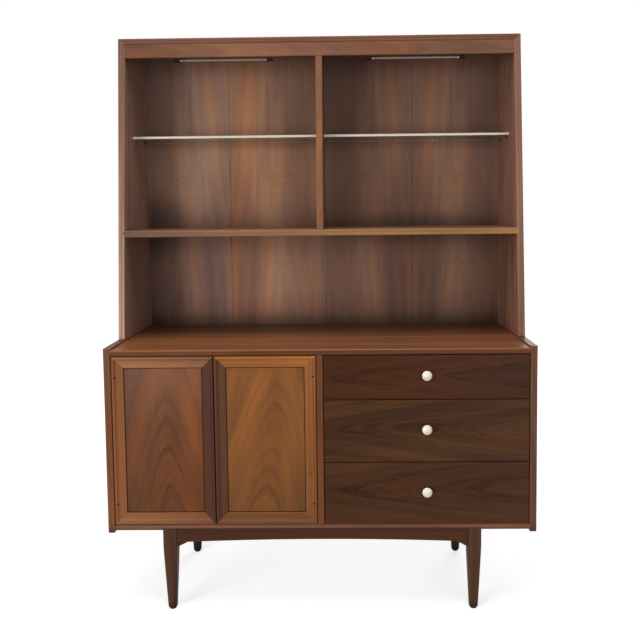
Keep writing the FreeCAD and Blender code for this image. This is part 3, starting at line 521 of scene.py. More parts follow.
hutchWoods = {
    "hutchSideLeft": {
        "pieces": ["hutch_side_left"], "grain": "uprightSide", "tone": tone(125, 96, 84),
        "pith": (0.12, 0.08), "taper": 0.04, "tip": 1.5, "seed": 2.0,
        # frontTints: painted highlight on the front edge low down, painted shade towards the top
        "frontTints": [(0.9, (2.1, 2.25, 2.15)), (1.5, (0.75, 0.78, 0.8)),
                       (1.87, (0.46, 0.50, 0.54))]},
    "hutchSideRight": {
        "pieces": ["hutch_side_right"], "grain": "uprightSide", "tone": tone(127, 91, 75),
        "pith": (0.06, 0.09), "taper": 0.04, "tip": 1.6, "seed": 6.0},
    "hutchTop": {
        "pieces": ["hutch_top"], "grain": "levelFlat", "tone": tone(101, 69, 54),
        "pith": (0.05, 0.07), "taper": 0.03, "figure": 0.3, "seed": 17.0},
    "hutchValance": {
        "pieces": ["hutch_valance"], "grain": "level", "tone": tone(114, 78, 58),
        "pith": (1.84, 0.04), "taper": 0.12, "figure": 0.4, "streaks": 0.3, "broad": 0.9,
        "ripple": 0.016, "pigment": 0.4, "warm": 0.8, "seed": 19.0,
        # lengthTints: painted shade towards the left end, painted light towards the right end
        "lengthTints": [(-0.64, (0.86, 0.82, 0.80)), (0.64, (1.05, 1.10, 1.20))]},
    "hutchShelf": {
        "pieces": ["hutch_shelf"], "grain": "levelFlat", "tone": tone(118, 82, 60),
        "pith": (-0.05, 0.06), "taper": 0.02, "streaks": 0.5, "seed": 21.0,
        # frontTints: painted shade on the front edge at the left end, painted light at the right
        # end
        "frontTints": [(-0.66, (0.62, 0.80, 1.28)), (0.66, (2.1, 2.15, 1.37))]},
    "hutchDivider": {
        "pieces": ["hutch_divider"], "grain": "uprightSide", "tone": tone(118, 82, 60),
        "pith": (0.3, 0.08), "streaks": 0.15, "seed": 25.0},
}

# four leaves of veneer, opened like a book, from the left end to the right
backLook = {
    "pieces": ["hutch_back", "base_back"], "tone": tone(127, 95, 79),
    "pith": (0.13, 0.03), "ring": 0.028, "taper": 0.10, "tip": 1.30, "wander": 0.09,
    "ripple": 0.014, "feather": 0.002, "figure": 0.20, "streaks": 0.12, "broad": 1.0,
    "pigment": 0.3, "warm": 0.7, "cool": 0.7, "wear": 0.0, "roughness": 0.5, "seed": 31.0,
    "leaf": 0.3445, "leafStart": -0.6946,
    # widthTints: the leaves' own tones, with painted shade at the left end and over the right half
    "widthTints": [
        (-0.66, (0.80, 0.84, 0.92)), (-0.60, (1.2, 1.26, 1.28)), (-0.48, (1.22, 1.26, 1.30)),
        (-0.355, (1.16, 1.18, 1.22)), (-0.345, (1.24, 1.12, 0.94)), (-0.22, (1.25, 1.14, 0.97)),
        (-0.18, (1.14, 1.12, 1.06)), (-0.01, (1.18, 1.12, 1.02)), (0.01, (0.80, 0.80, 0.80)),
        (0.10, (0.76, 0.74, 0.72)), (0.20, (0.80, 0.77, 0.74)), (0.33, (0.72, 0.70, 0.68)),
        (0.42, (0.80, 0.76, 0.70)), (0.54, (0.82, 0.82, 0.82)), (0.66, (0.84, 0.84, 0.84))],
    # lengthTints: painted shade just above the base top, the hutch shelf and the glass shelves,
    # and painted light between them
    "lengthTints": [
        (0.862, (0.38, 0.38, 0.38)), (0.883, (0.56, 0.56, 0.58)), (0.902, (0.80, 0.80, 0.82)),
        (0.925, (0.95, 0.94, 0.95)), (1.0, (1.10, 1.10, 1.10)),
        (1.2, (1.04, 1.04, 1.06)), (1.232, (0.70, 0.74, 0.78)), (1.29, (0.96, 0.98, 1.0)),
        (1.38, (1.06, 1.07, 1.06)), (1.52, (1.08, 1.08, 1.08)), (1.57, (0.88, 0.88, 0.92)),
        (1.62, (0.97, 0.97, 1.02)), (1.8, (0.96, 0.96, 1.02))],
    "knots": [(0.17, 1.40, 0.014), (0.18, 1.08, 0.012)], "eyes": 0.03,
    "curls": [(0.165, 1.425, 0.07, 0.15), (0.150, 1.395, 0.05, 0.12), (0.160, 1.095, 0.08, 0.13)],
    # patches: painted shade in the left corners and above the shelf on the right, painted light in
    # the middle of two bays
    "patches": [
        (-0.652, 1.232, 0.20, 0.17, (0.50, 0.54, 0.60)),
        (-0.652, 0.96, 0.17, 0.28, (0.66, 0.72, 0.82)),
        (0.36, 1.222, 0.46, 0.08, (0.66, 0.66, 0.68)),
        (-0.28, 1.02, 0.30, 0.20, (1.13, 1.18, 1.22)),
        (-0.47, 1.42, 0.16, 0.20, (1.09, 1.14, 1.18))],
    "rearTint": (1.25, 1.2, 1.1),
}

dressWoods(baseWoods)
dressWoods(hutchWoods)
dressWoods({"backLeaves": backLook})
print("case woods:", len(bpy.data.materials))


# the stiles and rails are quieter than the panels
frameWood = {"figure": 0.35, "streaks": 0.16, "broad": 0.4, "wear": 0.7, "rounding": 0.06}
panelWood = {
    "taper": 0.28, "wander": 0.06, "ripple": 0.016, "feather": 0.007,
    "figure": 0.27, "streaks": 0.12, "broad": 0.55, "pigment": 0.1, "warm": 0.5, "cool": 0.6,
    "wear": 0.0,
    # deepTints: painted shade in the groove round the panel
    "deepTints": [(-0.2189, grey(1.0)), (-0.2183, grey(1.0)), (-0.2174, (0.16, 0.11, 0.10)),
                  (-0.2155, (0.16, 0.11, 0.10)), (-0.2145, grey(1.0))]}
doorWoods = {
    "leftHingeStile": {
        **frameWood, "pieces": ["door_left_hinge_stile"], "tone": tone(134, 84, 51),
        "pith": (0.2, 0.1), "seed": 41.0},
    "rightHingeStile": {
        **frameWood, "pieces": ["door_right_hinge_stile"], "tone": tone(132, 82, 46),
        "pith": (0.6, 0.1), "seed": 43.0, "knots": [(-0.031, 0.455, 0.006)],
        "lengthTints": [(0.30, (0.80, 0.82, 0.86)), (0.82, (1.08, 1.08, 1.05))]},
    "leftMeetingStile": {
        **frameWood, "pieces": ["door_left_meeting_stile"], "tone": tone(80, 49, 36),
        "pith": (0.4, 0.1), "warm": 0.3, "seed": 45.0},
    "rightMeetingStile": {
        **frameWood, "pieces": ["door_right_meeting_stile"], "tone": tone(88, 56, 40),
        "pith": (0.5, 0.1), "warm": 0.4, "seed": 47.0, "knots": [(-0.335, 0.745, 0.008)],
        "lengthTints": [(0.30, (0.92, 0.90, 0.85)), (0.82, (1.1, 1.15, 1.05))]},
    "leftRails": {
        **frameWood, "pieces": ["door_left_rails"], "grain": "level", "tone": tone(136, 90, 62),
        "pith": (1.2, 0.1), "seed": 49.0,
        "lengthTints": [(-0.65, (1.05, 1.05, 1.02)), (-0.35, (0.80, 0.76, 0.84))],
        "widthTints": [(0.30, (0.80, 0.86, 0.86)), (0.83, (1.16, 1.28, 1.34))]},
    "rightRails": {
        **frameWood, "pieces": ["door_right_rails"], "grain": "level", "tone": tone(137, 85, 48),
        "pith": (1.1, 0.1), "seed": 51.0,
        "lengthTints": [(-0.32, (0.86, 0.88, 0.88)), (-0.02, (1.08, 1.08, 1.0))],
        "widthTints": [(0.30, (0.74, 0.78, 0.86)), (0.83, (1.38, 1.36, 1.12))]},
    "leftPanel": {
        **panelWood, "pieces": ["door_left_panel"], "tone": tone(112, 70, 46),
        "pith": (-0.488, 0.04), "tip": 0.55, "lean": -0.03, "seed": 53.0, "wander": 0.08,
        "ripple": 0.022,
        "peaks": [(0.690, 0.45), (0.622, 0.6), (0.531, 0.8), (0.447, 0.8), (0.404, 0.4),
                  (0.372, 0.5)],
        # lengthTints: darker towards the bottom, with a painted pinkish sheen towards the top
        "lengthTints": [(0.32, (0.90, 0.86, 0.76)), (0.60, (0.95, 0.92, 0.86)),
                        (0.80, (1.12, 1.30, 1.65))],
        "widthTints": [(-0.62, (0.80, 0.82, 0.92)), (-0.54, (0.95, 0.97, 1.0)),
                       (-0.46, (1.02, 1.02, 0.98)), (-0.40, (1.14, 1.06, 0.84)),
                       (-0.375, (1.0, 0.94, 0.84))]},
    "rightPanel": {
        **panelWood, "pieces": ["door_right_panel"], "tone": tone(126, 80, 44),
        "pith": (-0.158, 0.04), "tip": 0.55, "lean": 0.11, "seed": 55.0,
        "peaks": [(0.731, 0.4), (0.666, 0.6), (0.598, 0.3), (0.529, 0.7), (0.468, 0.5),
                  (0.409, 0.7)],
        "lengthTints": [(0.32, (0.84, 0.86, 0.86)), (0.55, (1.08, 1.06, 0.96)),
                        (0.80, (1.04, 1.04, 0.96))],
        "widthTints": [(-0.09, (1.0, 1.0, 1.0)), (-0.05, (0.84, 0.88, 0.94))]},
    "plugs": {
        "pieces": ["door_left_plugs", "door_right_plugs"], "grain": "deep",
        "tone": tone(36, 20, 14), "wear": 0.0, "rounding": 0.0, "seed": 79.0},
}

# the drawer fronts are darker than the doors, with peaks that point to the left
drawerFront = {
    "grain": "level", "tone": tone(69, 44, 28), "ring": 0.010, "taper": -0.14, "wander": 0.06,
    "ripple": 0.034, "feather": 0.008, "figure": 0.42, "streaks": 0.4, "broad": 0.6,
    "pigment": 0.35, "gloss": 0.06}
# each front's lengthTints shift its tone along its length, with a painted cool sheen towards the
# right end
drawerWoods = {
    "topDrawerFront": {
        **drawerFront, "pieces": ["drawer_top_front"], "pith": (0.768, 0.02), "tip": 0.15,
        "seed": 61.0, "peaks": [(0.109, 0.7), (0.146, 0.3), (0.184, 0.7), (0.25, 0.3),
                                (0.33, 0.5), (0.45, 0.4)],
        "lengthTints": [(0.02, (0.98, 0.80, 0.66)), (0.63, (0.96, 0.94, 1.06))]},
    "middleDrawerFront": {
        **drawerFront, "pieces": ["drawer_middle_front"], "pith": (0.600, 0.025), "tip": 0.2,
        "seed": 63.0, "peaks": [(0.115, 0.5), (0.18, 0.35), (0.33, 0.3), (0.457, 0.5),
                                (0.504, 0.5), (0.553, 0.5)],
        "lengthTints": [(0.02, (1.04, 1.05, 0.96)), (0.63, (1.24, 1.30, 1.42))]},
    "bottomDrawerFront": {
        **drawerFront, "pieces": ["drawer_bottom_front"], "pith": (0.406, 0.025), "tip": 0.11,
        "seed": 65.0, "peaks": [(0.078, 0.5), (0.112, 0.5), (0.165, 0.6), (0.24, 0.3),
                                (0.33, 0.5), (0.43, 0.4), (0.52, 0.5)],
        "lengthTints": [(0.02, (1.02, 1.0, 0.92)), (0.63, (1.2, 1.2, 1.36))]},
}

# the hidden wood is pale, dull and close grained
paleWood = {
    "tone": tone(190, 154, 112), "figure": 0.25, "streaks": 0.3, "pores": 0.15, "pigment": 0.1,
    "warm": 0.3, "cool": 0.2, "wear": 0.1, "roughness": 0.58}
paleWoods = {
    "drawerBoxWood": {
        **paleWood, "grain": "deep", "seed": 91.0,
        "pieces": ofDrawers("box")},
    "drawerBottomWood": {
        **paleWood, "grain": "levelFlat", "seed": 93.0,
        "pieces": ofDrawers("bottom")},
    "runnerWood": {
        **paleWood, "grain": "deep", "seed": 97.0, "tone": tone(172, 134, 92),
        "pieces": ["drawer_runners"]},
}

# the feet are darker towards their ends
footTints = [(0.004, (0.35, 0.4, 0.5)), (0.016, (0.6, 0.65, 0.7)), (0.03, (1.0, 1.0, 1.0))]
legWoods = {
    "frontLegs": {
        "pieces": ["leg_front_left", "leg_front_right"], "tone": tone(82, 55, 41), "rounding": 0.0,
        "pith": (0.0, 0.2), "gloss": 0.06, "seed": 71.0, "lengthTints": footTints},
    # the back legs are a darker copy of the front legs' wood: painted shade
    "backLegsPaintedShade": {
        "pieces": ["leg_back_left", "leg_back_right"], "tone": tone(52, 38, 31), "rounding": 0.0,
        "pith": (0.0, 0.2), "gloss": 0.06, "seed": 73.0, "lengthTints": footTints},
    "longAprons": {
        "pieces": ["apron_front", "apron_back"], "grain": "level", "tone": tone(73, 42, 27),
        "rounding": 0.1, "pith": (0.6, 0.1), "seed": 75.0},
    "sideAprons": {
        "pieces": ["apron_sides"], "grain": "deep", "tone": tone(70, 46, 34),
        "pith": (0.6, 0.1), "seed": 77.0},
}

dressWoods(doorWoods)
dressWoods(drawerWoods)
dressWoods(paleWoods)
dressWoods(legWoods)
print("with doors, drawers and legs:", len(bpy.data.materials))


# Other finishes. Each pattern's fineness is given along x, y and z.

metalLook = {
    "lineDetail": 3.0, "lineRoughness": 0.6, "clouds": (60.0, 60.0, 60.0),
    "cloudBand": (0.35, 0.7), "dullAmount": 0.5, "dullTint": grey(0.7), "lineShine": 0.2,
    "cloudShine": 0.1, "bump": (0.05, 0.0002)}
brassLook = {
    **metalLook, "colour": tone(104, 80, 50), "roughness": 0.4, "brushing": (300.0, 300.0, 40.0)}
steelLook = {
    **metalLook, "colour": tone(150, 148, 144), "roughness": 0.34,
    "brushing": (400.0, 400.0, 40.0)}


def metal(sheet, spot, look):
    lines = sheet.speckle(spot, look["brushing"], look["lineDetail"], look["lineRoughness"])
    cloud = sheet.speckle(spot, look["clouds"])
    dull = cloud.step(*look["cloudBand"]) * look["dullAmount"]
    return sheet.shader({
        "Base Color": sheet.blend(dull, look["colour"], scaled(look["colour"], *look["dullTint"])),
        "Metallic": 1.0,
        "Roughness": (look["roughness"] + (lines - noiseMiddle) * look["lineShine"]
                      + cloud * look["cloudShine"]),
        "Normal": sheet.bump(lines, *look["bump"]),
    })


knobLook = {
    "glaze": tone(234, 225, 210), "shade": tone(222, 209, 190), "roughness": 0.18,
    "mottle": (120.0, 120.0, 120.0), "mottleDetail": 3.0, "mottleBand": (0.3, 0.75),
    "mottleRoughness": 0.1, "specks": (700.0, 700.0, 700.0), "speckDetail": 1.0,
    "speckBand": (0.70, 0.74), "speckAmount": 0.5, "speckTint": (0.6, 0.55, 0.5),
    "coat": 0.4, "coatRoughness": 0.08, "bump": (0.05, 0.0004)}


def glazed(sheet, spot, look):
    mottle = sheet.speckle(spot, look["mottle"], look["mottleDetail"])
    speck = sheet.speckle(spot, look["specks"], look["speckDetail"]).step(*look["speckBand"])
    colour = sheet.blend(mottle.step(*look["mottleBand"]), look["glaze"], look["shade"])
    return sheet.shader({
        "Base Color": sheet.blend(speck * look["speckAmount"], colour,
                                  scaled(look["shade"], *look["speckTint"])),
        "Roughness": look["roughness"] + mottle * look["mottleRoughness"],
        "Coat Weight": look["coat"],
        "Coat Roughness": look["coatRoughness"],
        "Normal": sheet.bump(mottle, *look["bump"]),
    })


glassLook = {
    "body": (0.90, 0.96, 0.93), "roughness": 0.09, "smears": (9.0, 22.0, 22.0),
    "smearDetail": 3.0, "smearBand": (0.5, 0.8), "smearRoughness": 0.05, "ior": 1.5,
    "edge": tone(206, 194, 178), "edgeAmount": 0.85, "edgeRoughness": 0.35,
    "ground": (300.0, 900.0, 900.0), "groundBand": (0.3, 0.7), "groundAmount": 0.3,
    "groundTint": (0.75, 0.82, 0.8), "groundRoughness": 0.2, "facingBand": (0.3, 0.6)}


# plate glass, clear through its faces, with ground front and back edges
def shelfGlass(sheet, spot, look):
    smear = sheet.speckle(spot, look["smears"], look["smearDetail"]).step(*look["smearBand"])
    ground = sheet.speckle(spot, look["ground"])
    clear = sheet.shader({
        "Base Color": look["body"],
        "Roughness": look["roughness"] + smear * look["smearRoughness"],
        "IOR": look["ior"],
        "Transmission Weight": 1.0,
    })
    rough = ground.step(*look["groundBand"]) * look["groundAmount"]
    edge = sheet.shader({
        "Base Color": sheet.blend(rough, look["edge"], scaled(look["edge"], *look["groundTint"])),
        "Roughness": look["edgeRoughness"] + ground * look["groundRoughness"],
    })
    level = sheet.parts(sheet.facing())[2].size()
    amount = (1 - level.step(*look["facingBand"])) * look["edgeAmount"]
    return sheet.node("ShaderNodeMixShader", {}, {0: amount, 1: clear, 2: edge})


lampLook = {
    "tubeLength": 0.302, "tubeEnd": 0.485, "cap": 0.006, "capEdge": 0.0002,
    "capColour": tone(178, 174, 166), "glass": tone(160, 148, 136), "gloss": 0.3,
    "roughness": 0.22, "dust": tone(132, 120, 108), "dustGrain": (60.0, 90.0, 90.0),
    "dustDetail": 3.0, "dustBand": (0.4, 0.8), "dustAmount": 0.4, "dustRoughness": 0.15,
    "burnReach": 0.03, "burnAmount": 0.5, "burnTint": (0.55, 0.5, 0.48)}


# the tube's ends are burnt, and its metal caps are part of the same piece
def lampTube(sheet, spot, look):
    half = look["tubeLength"] / 2
    capStart = half - look["cap"]
    fromMiddle = (spot[0].size() - (look["tubeEnd"] - half)).size()
    cap = fromMiddle.step(capStart - look["capEdge"], capStart)
    burnt = fromMiddle.step(half - look["burnReach"], capStart) * look["burnAmount"]
    dusty = sheet.speckle(spot, look["dustGrain"], look["dustDetail"])
    dust = dusty.step(*look["dustBand"]) * look["dustAmount"]
    glass = sheet.blend(dust, look["glass"], look["dust"])
    glass = sheet.blend(burnt, glass, scaled(look["dust"], *look["burnTint"]))
    return sheet.shader({
        "Base Color": sheet.blend(cap, glass, look["capColour"]),
        "Metallic": cap,
        "Specular IOR Level": look["gloss"],
        "Roughness": look["roughness"] + dusty * look["dustRoughness"],
    })


enamelLook = {
    "peel": (400.0, 400.0, 400.0), "dust": (14.0, 14.0, 14.0), "dustDetail": 4.0,
    "dustBand": (0.45, 0.75), "dustAmount": 0.35, "dustTint": grey(0.75),
    "dustRoughness": 0.1, "bump": (0.08, 0.0002)}
housingLook = {**enamelLook, "colour": tone(206, 200, 188), "roughness": 0.35, "gloss": 0.5}
blackLook = {**enamelLook, "colour": tone(32, 26, 23), "roughness": 0.5, "gloss": 0.12}


def enamel(sheet, spot, look):
    peel = sheet.speckle(spot, look["peel"])
    dust = sheet.speckle(spot, look["dust"], look["dustDetail"])
    return sheet.shader({
        "Base Color": sheet.blend(dust.step(*look["dustBand"]) * look["dustAmount"],
                                  look["colour"], scaled(look["colour"], *look["dustTint"])),
        "Roughness": look["roughness"] + dust * look["dustRoughness"],
        "Specular IOR Level": look["gloss"],
        "Normal": sheet.bump(peel, *look["bump"]),
    })


brassFinish = newMaterial("agedBrass", metal, brassLook)
steelFinish = newMaterial("dullSteel", metal, steelLook)
paint(["shelf_pins", "hinge_plates", "door_left_fittings", "door_right_fittings"], brassFinish)
paint(["case_screws", "joining_plates", *ofDrawers("knob_screw")], steelFinish)
paint(ofDrawers("knob"), newMaterial("knobGlaze", glazed, knobLook))
paint(["glass_shelf_left", "glass_shelf_right"], newMaterial("shelfGlass", shelfGlass, glassLook))
paint(["lamp_tubes"], newMaterial("tubeGlass", lampTube, lampLook))
paint(["lamp_housings"], newMaterial("lampEnamel", enamel, housingLook))
paint(["lamp_sockets", "door_catches", "glides"], newMaterial("blackPlastic", enamel, blackLook))
print("finishes:", len(bpy.data.materials))


# Small fasteners, made by Geometry Nodes. Keys with a capital letter are the trees' inputs.

def fastenerTree(name, inputs):
    tree = bpy.data.node_groups.new(name, "GeometryNodeTree")
    sheet = Sheet(tree)
    kinds = {"Places": "NodeSocketGeometry", "Finish": "NodeSocketMaterial",
             "Seed": "NodeSocketInt"}
    labels = ["Places", *inputs, "Seed", "Finish"]
    for label in labels:
        tree.interface.new_socket(label, in_out="INPUT",
                                  socket_type=kinds.get(label, "NodeSocketFloat"))
    tree.interface.new_socket("Heads", in_out="OUTPUT", socket_type="NodeSocketGeometry")
    start = tree.nodes.new("NodeGroupInput")
    given = {label: Value(sheet, start.outputs[label]) for label in labels}
    return tree, sheet, given


def finishTree(sheet, heads, given):
    real = sheet.node("GeometryNodeRealizeInstances", {}, {0: heads})
    done = sheet.node("GeometryNodeSetMaterial", {}, {0: real, "Material": given["Finish"]})
    sheet.node("NodeGroupOutput", {}, {0: done})


nailLook = {
    "Spacing": 0.105, "Radius": 0.0026, "Height": 0.0002, "Stray": 0.0012, "Seed": 4,
    "sides": 12, "rings": 6, "strayUp": 0.7, "fromRim": 0.011, "fromEnds": 0.05,
    "fromSides": 0.06}
screwLook = {
    "Radius": 0.0021, "Height": 0.0004, "Slot": 0.0006, "Seed": 7,
    "sides": 20, "rimShare": 0.8, "slotLength": 3.0, "slotRise": 1.1}


# low round heads at even steps along the edges that are handed in
def nailTree(look):
    tree, sheet, given = fastenerTree("nailRows", ["Spacing", "Radius", "Height", "Stray"])
    rows = sheet.node("GeometryNodeMeshToCurve", {}, {0: given["Places"]})
    spots = sheet.node("GeometryNodeResampleCurve", {"mode": "LENGTH"},
                       {0: rows, "Length": given["Spacing"]})
    stray = sheet.node("FunctionNodeRandomValue", {"data_type": "FLOAT"},
                       {2: given["Stray"] * -1.0, 3: given["Stray"], 8: given["Seed"]}, 1)
    moved = sheet.point(stray, 0.0, stray * look["strayUp"])
    spots = sheet.node("GeometryNodeSetPosition", {}, {0: spots, "Offset": moved})
    ball = sheet.node("GeometryNodeMeshUVSphere", {}, {
        0: look["sides"], 1: look["rings"], 2: given["Radius"]})
    flat = sheet.point(1.0, given["Height"] / given["Radius"], 1.0)
    dome = sheet.node("GeometryNodeTransform", {}, {0: ball, "Scale": flat})
    dome = sheet.node("GeometryNodeSetShadeSmooth", {}, {0: dome})
    finishTree(sheet, sheet.node("GeometryNodeInstanceOnPoints", {}, {0: spots, 2: dome}), given)
    return tree


# slotted heads that face the way each point says
def screwTree(look):
    tree, sheet, given = fastenerTree("slottedScrews", ["Radius", "Height", "Slot"])
    head = sheet.node("GeometryNodeMeshCone", {}, {
        0: look["sides"], 3: given["Radius"] * look["rimShare"], 4: given["Radius"],
        5: given["Height"]})
    length = given["Radius"] * look["slotLength"]
    bar = sheet.node("GeometryNodeMeshCube", {}, {
        0: sheet.point(length, given["Slot"], given["Height"])})
    bar = sheet.node("GeometryNodeTransform", {}, {
        0: bar, "Translation": sheet.point(0.0, 0.0, given["Height"] * look["slotRise"])})
    slotted = sheet.node("GeometryNodeMeshBoolean", {"operation": "DIFFERENCE"},
                         {0: head, 1: bar})
    facing = sheet.node("GeometryNodeInputNamedAttribute", {"data_type": "FLOAT_VECTOR"},
                        {0: "facing"})
    turn = sheet.node("FunctionNodeAlignRotationToVector", {"axis": "Z"}, {"Vector": facing})
    spin = sheet.node("FunctionNodeRandomValue", {"data_type": "FLOAT"},
                      {2: 0.0, 3: math.pi, 8: given["Seed"]}, 1)
    spun = sheet.node("FunctionNodeRotateRotation", {"rotation_space": "LOCAL"},
                      {0: turn, 1: sheet.point(0.0, 0.0, spin)})
    heads = sheet.node("GeometryNodeInstanceOnPoints", {}, {
        0: given["Places"], 2: slotted, "Rotation": spun})
    finishTree(sheet, heads, given)
    return tree


def makeFasteners(name, body, tree, start, look, finish):
    source = bpy.data.objects.new(name + "_places", start)
    bpy.context.scene.collection.objects.link(source)
    modifier = source.modifiers.new("fasteners", "NODES")
    modifier.node_group = tree
    for item in tree.interface.items_tree:
        if item.in_out == "INPUT" and item.name in look:
            modifier[item.identifier] = look[item.name]
        elif item.name == "Finish":
            modifier[item.identifier] = finish
    graph = bpy.context.evaluated_depsgraph_get()
    mesh = bpy.data.meshes.new_from_object(source.evaluated_get(graph))
    mesh.name = name
    source.modifiers.remove(modifier)
    bpy.data.objects.remove(source)
    piece = bpy.data.objects.new(name, mesh)
    bpy.context.scene.collection.objects.link(piece)
    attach(piece, body)
    print(name + ":", len(mesh.polygons), "faces")


# round the rim of each back, and along the uprights and the shelf that it is fixed to
def nailRows(look):
    corners = []
    edges = []
    inset = look["fromRim"]
    for piece in ("base_back", "hutch_back"):
        low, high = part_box(piece)
        start = len(corners)
        corners += [(x, high.y, z) for x, z in (
            (low.x + inset, low.z + inset), (high.x - inset, low.z + inset),
            (high.x - inset, high.z - inset), (low.x + inset, high.z - inset))]
        edges += [(start + step, start + (step + 1) % 4) for step in range(4)]
    for piece, panel in (("base_upright", "base_back"), ("hutch_divider", "hutch_back"),
                         ("hutch_shelf", "hutch_back")):
        low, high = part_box(piece)
        panelLow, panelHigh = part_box(panel)
        middle = (low + high) / 2
        if high.x - low.x > high.z - low.z:
            ends = [(low.x + look["fromSides"], middle.z), (high.x - look["fromSides"], middle.z)]
        else:
            ends = [(middle.x, max(low.z, panelLow.z) + look["fromEnds"]),
                    (middle.x, min(high.z, panelHigh.z) - look["fromEnds"])]
        edges.append((len(corners), len(corners) + 1))
        corners += [(x, panelHigh.y, z) for x, z in ends]
    mesh = bpy.data.meshes.new("nailRows")
    mesh.from_pydata(corners, edges, [])
    return mesh


def screwPoints(name, screws):
    mesh = bpy.data.meshes.new(name)
    mesh.from_pydata([place for place, facing in screws], [], [])
    layer = mesh.attributes.new("facing", "FLOAT_VECTOR", "POINT")
    for item, (place, facing) in zip(layer.data, screws):
        item.vector = facing
    return mesh


# Two screws in each hinge plate and strike, and one at each end of the catches. A pivot has its
# place across and the way that its plate goes.
fittingLook = {
    "pivots": ((-0.6495, 1), (-0.0245, -1)), "pivotY": -0.2195, "screwSteps": (0.014, 0.025),
    "plateTop": 0.290, "plateUnder": 0.839,
    "catchX": {"left": -0.3565, "right": -0.3175},
    "catchY": -0.2004, "catchUnder": 0.826, "catchStep": 0.013,
    "strikeBack": -0.2070, "strikeZ": 0.8255, "strikeStep": 0.006,
}
upward = (0, 0, 1)
downward = (0, 0, -1)
backward = (0, 1, 0)


def fittingScrews(look):
    screws = []
    for pivot, way in look["pivots"]:
        for step in look["screwSteps"]:
            x = pivot + way * step
            screws.append(((x, look["pivotY"], look["plateTop"]), upward))
            screws.append(((x, look["pivotY"], look["plateUnder"]), downward))
    for x in look["catchX"].values():
        for side in (-1, 1):
            screws.append(((x + side * look["catchStep"], look["catchY"], look["catchUnder"]),
                           downward))
    return screws


def doorScrews(look, side):
    x = look["catchX"][side]
    return [((x + step, look["strikeBack"], look["strikeZ"]), backward)
            for step in (-look["strikeStep"], look["strikeStep"])]


makeFasteners("back_nails", "case", nailTree(nailLook), nailRows(nailLook), nailLook,
              steelFinish)
screwRuns = [("fitting_screws", "case", fittingScrews(fittingLook))]
for side in ("left", "right"):
    screwRuns.append(("door_" + side + "_strike_screws", "door_" + side,
                      doorScrews(fittingLook, side)))
screws = screwTree(screwLook)
for name, body, places in screwRuns:
    makeFasteners(name, body, screws, screwPoints(name, places), screwLook, brassFinish)


# The room

roomLook = {
    "floorSize": 16.0,
    "floorGrey": 0.82,
    "floorBounce": 0.3,
    "nearGlow": 0.60,
    "farGlow": 0.73,
    "glowReach": (0.9, 3.0),
    "worldLight": 0.32,
    "aim": (0.0, 0.0, 0.95),
    "lamps": {
        "window": {"place": (-2.9, -3.3, 1.25), "size": 2.2, "power": 100.0},
        "room": {"place": (1.9, -4.0, 1.3), "size": 2.6, "power": 58.0},
        "ceiling": {"place": (-0.2, -0.55, 3.2), "size": 1.2, "power": 34.0},
        "behind": {"place": (1.2, 3.6, 1.9), "size": 2.4, "power": 50.0},
    },
}


# camera rays, and the rays that glass and metal send on, see the bright background
def seenDirectly(sheet):
    path = sheet.node("ShaderNodeLightPath", {}, {}, "Is Camera Ray")
    rays = path.socket.node.outputs
    return path.most(Value(sheet, rays["Is Glossy Ray"])).most(
        Value(sheet, rays["Is Transmission Ray"]))


# the floor's own glow keeps it white far off and leaves the shadow by the feet
def paleFloor(sheet, spot, look):
    matt = sheet.node("ShaderNodeBsdfDiffuse", {}, {"Color": grey(look["floorGrey"])})
    dim = sheet.node("ShaderNodeBsdfDiffuse", {}, {"Color": grey(look["floorBounce"])})
    x, y, z = spot
    far = (x * x + y * y).root().step(*look["glowReach"])
    near, distant = [
        sheet.node("ShaderNodeEmission", {}, {"Color": grey(1.0), "Strength": look[glow]})
        for glow in ("nearGlow", "farGlow")]
    glow = sheet.node("ShaderNodeMixShader", {}, {0: far, 1: near, 2: distant})
    bright = sheet.node("ShaderNodeAddShader", {}, {0: matt, 1: glow})
    return sheet.node("ShaderNodeMixShader", {}, {0: seenDirectly(sheet), 1: dim, 2: bright})


def makeFloor(look):
    half = look["floorSize"] / 2
    mesh = bpy.data.meshes.new("floor")
    corners = [(-half, -half, 0), (half, -half, 0), (half, half, 0), (-half, half, 0)]
    mesh.from_pydata(corners, [], [(0, 1, 2, 3)])
    floor = bpy.data.objects.new("floor", mesh)
    bpy.context.scene.collection.objects.link(floor)
    mesh.materials.append(newMaterial("paleFloor", paleFloor, look))


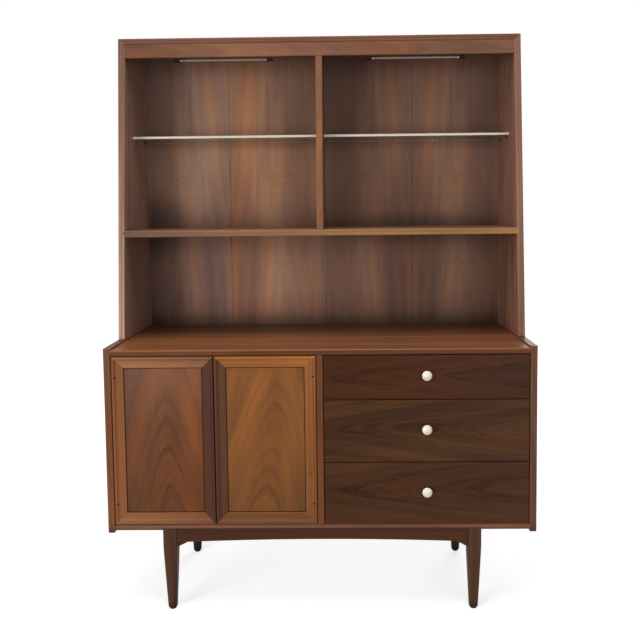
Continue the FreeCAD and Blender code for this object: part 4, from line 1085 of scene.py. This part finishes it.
def lightWorld(look):
    world = bpy.data.worlds.new("studio")
    bpy.context.scene.world = world
    world.use_nodes = True
    sheet = Sheet(world.node_tree)
    strength = seenDirectly(sheet) * (1.0 - look["worldLight"]) + look["worldLight"]
    background = sheet.node("ShaderNodeBackground", {}, {"Color": grey(1.0), "Strength": strength})
    sheet.close(background, "ShaderNodeOutputWorld")


def hangLamp(name, lamp, aim):
    data = bpy.data.lights.new(name, "AREA")
    data.shape = "SQUARE"
    data.size = lamp["size"]
    data.energy = lamp["power"]
    light = bpy.data.objects.new(name, data)
    light.location = lamp["place"]
    toAim = Vector(aim) - Vector(lamp["place"])
    light.rotation_euler = toAim.to_track_quat("-Z", "Y").to_euler()
    bpy.context.scene.collection.objects.link(light)


makeFloor(roomLook)
lightWorld(roomLook)
for lampName, lamp in roomLook["lamps"].items():
    hangLamp(lampName, lamp, roomLook["aim"])
print("room lit by", len(roomLook["lamps"]), "lamps")


# The camera, at the photograph's angle

cameraLook = {
    "place": (0.08856, -2.34689, 1.30331),
    "yaw": -0.0144,
    "pitchDown": 0.0629,
    "roll": -0.0104,
    "focalPixels": 680.49,
    "middlePixel": (336.70, 250.30),
    "imagePixels": 640.0,
    "sensor": 36.0,
}


def makeCamera(look):
    yaw, pitch, roll = look["yaw"], look["pitchDown"], look["roll"]
    ahead = Vector((math.sin(yaw) * math.cos(pitch), math.cos(yaw) * math.cos(pitch),
                    -math.sin(pitch)))
    level = Vector((math.cos(yaw), -math.sin(yaw), 0.0))
    up = level.cross(ahead)
    right = level * math.cos(roll) + up * math.sin(roll)
    top = up * math.cos(roll) - level * math.sin(roll)
    data = bpy.data.cameras.new("camera")
    data.sensor_width = look["sensor"]
    data.lens = look["focalPixels"] / look["imagePixels"] * look["sensor"]
    half = look["imagePixels"] / 2
    data.shift_x = (half - look["middlePixel"][0]) / look["imagePixels"]
    data.shift_y = (look["middlePixel"][1] - half) / look["imagePixels"]
    camera = bpy.data.objects.new("camera", data)
    bpy.context.scene.collection.objects.link(camera)
    turn = Matrix((right, top, -ahead)).transposed()
    camera.matrix_world = Matrix.Translation(look["place"]) @ turn.to_4x4()
    bpy.context.scene.camera = camera


makeCamera(cameraLook)
bpy.context.scene.view_settings.view_transform = "Standard"
print("camera ready")
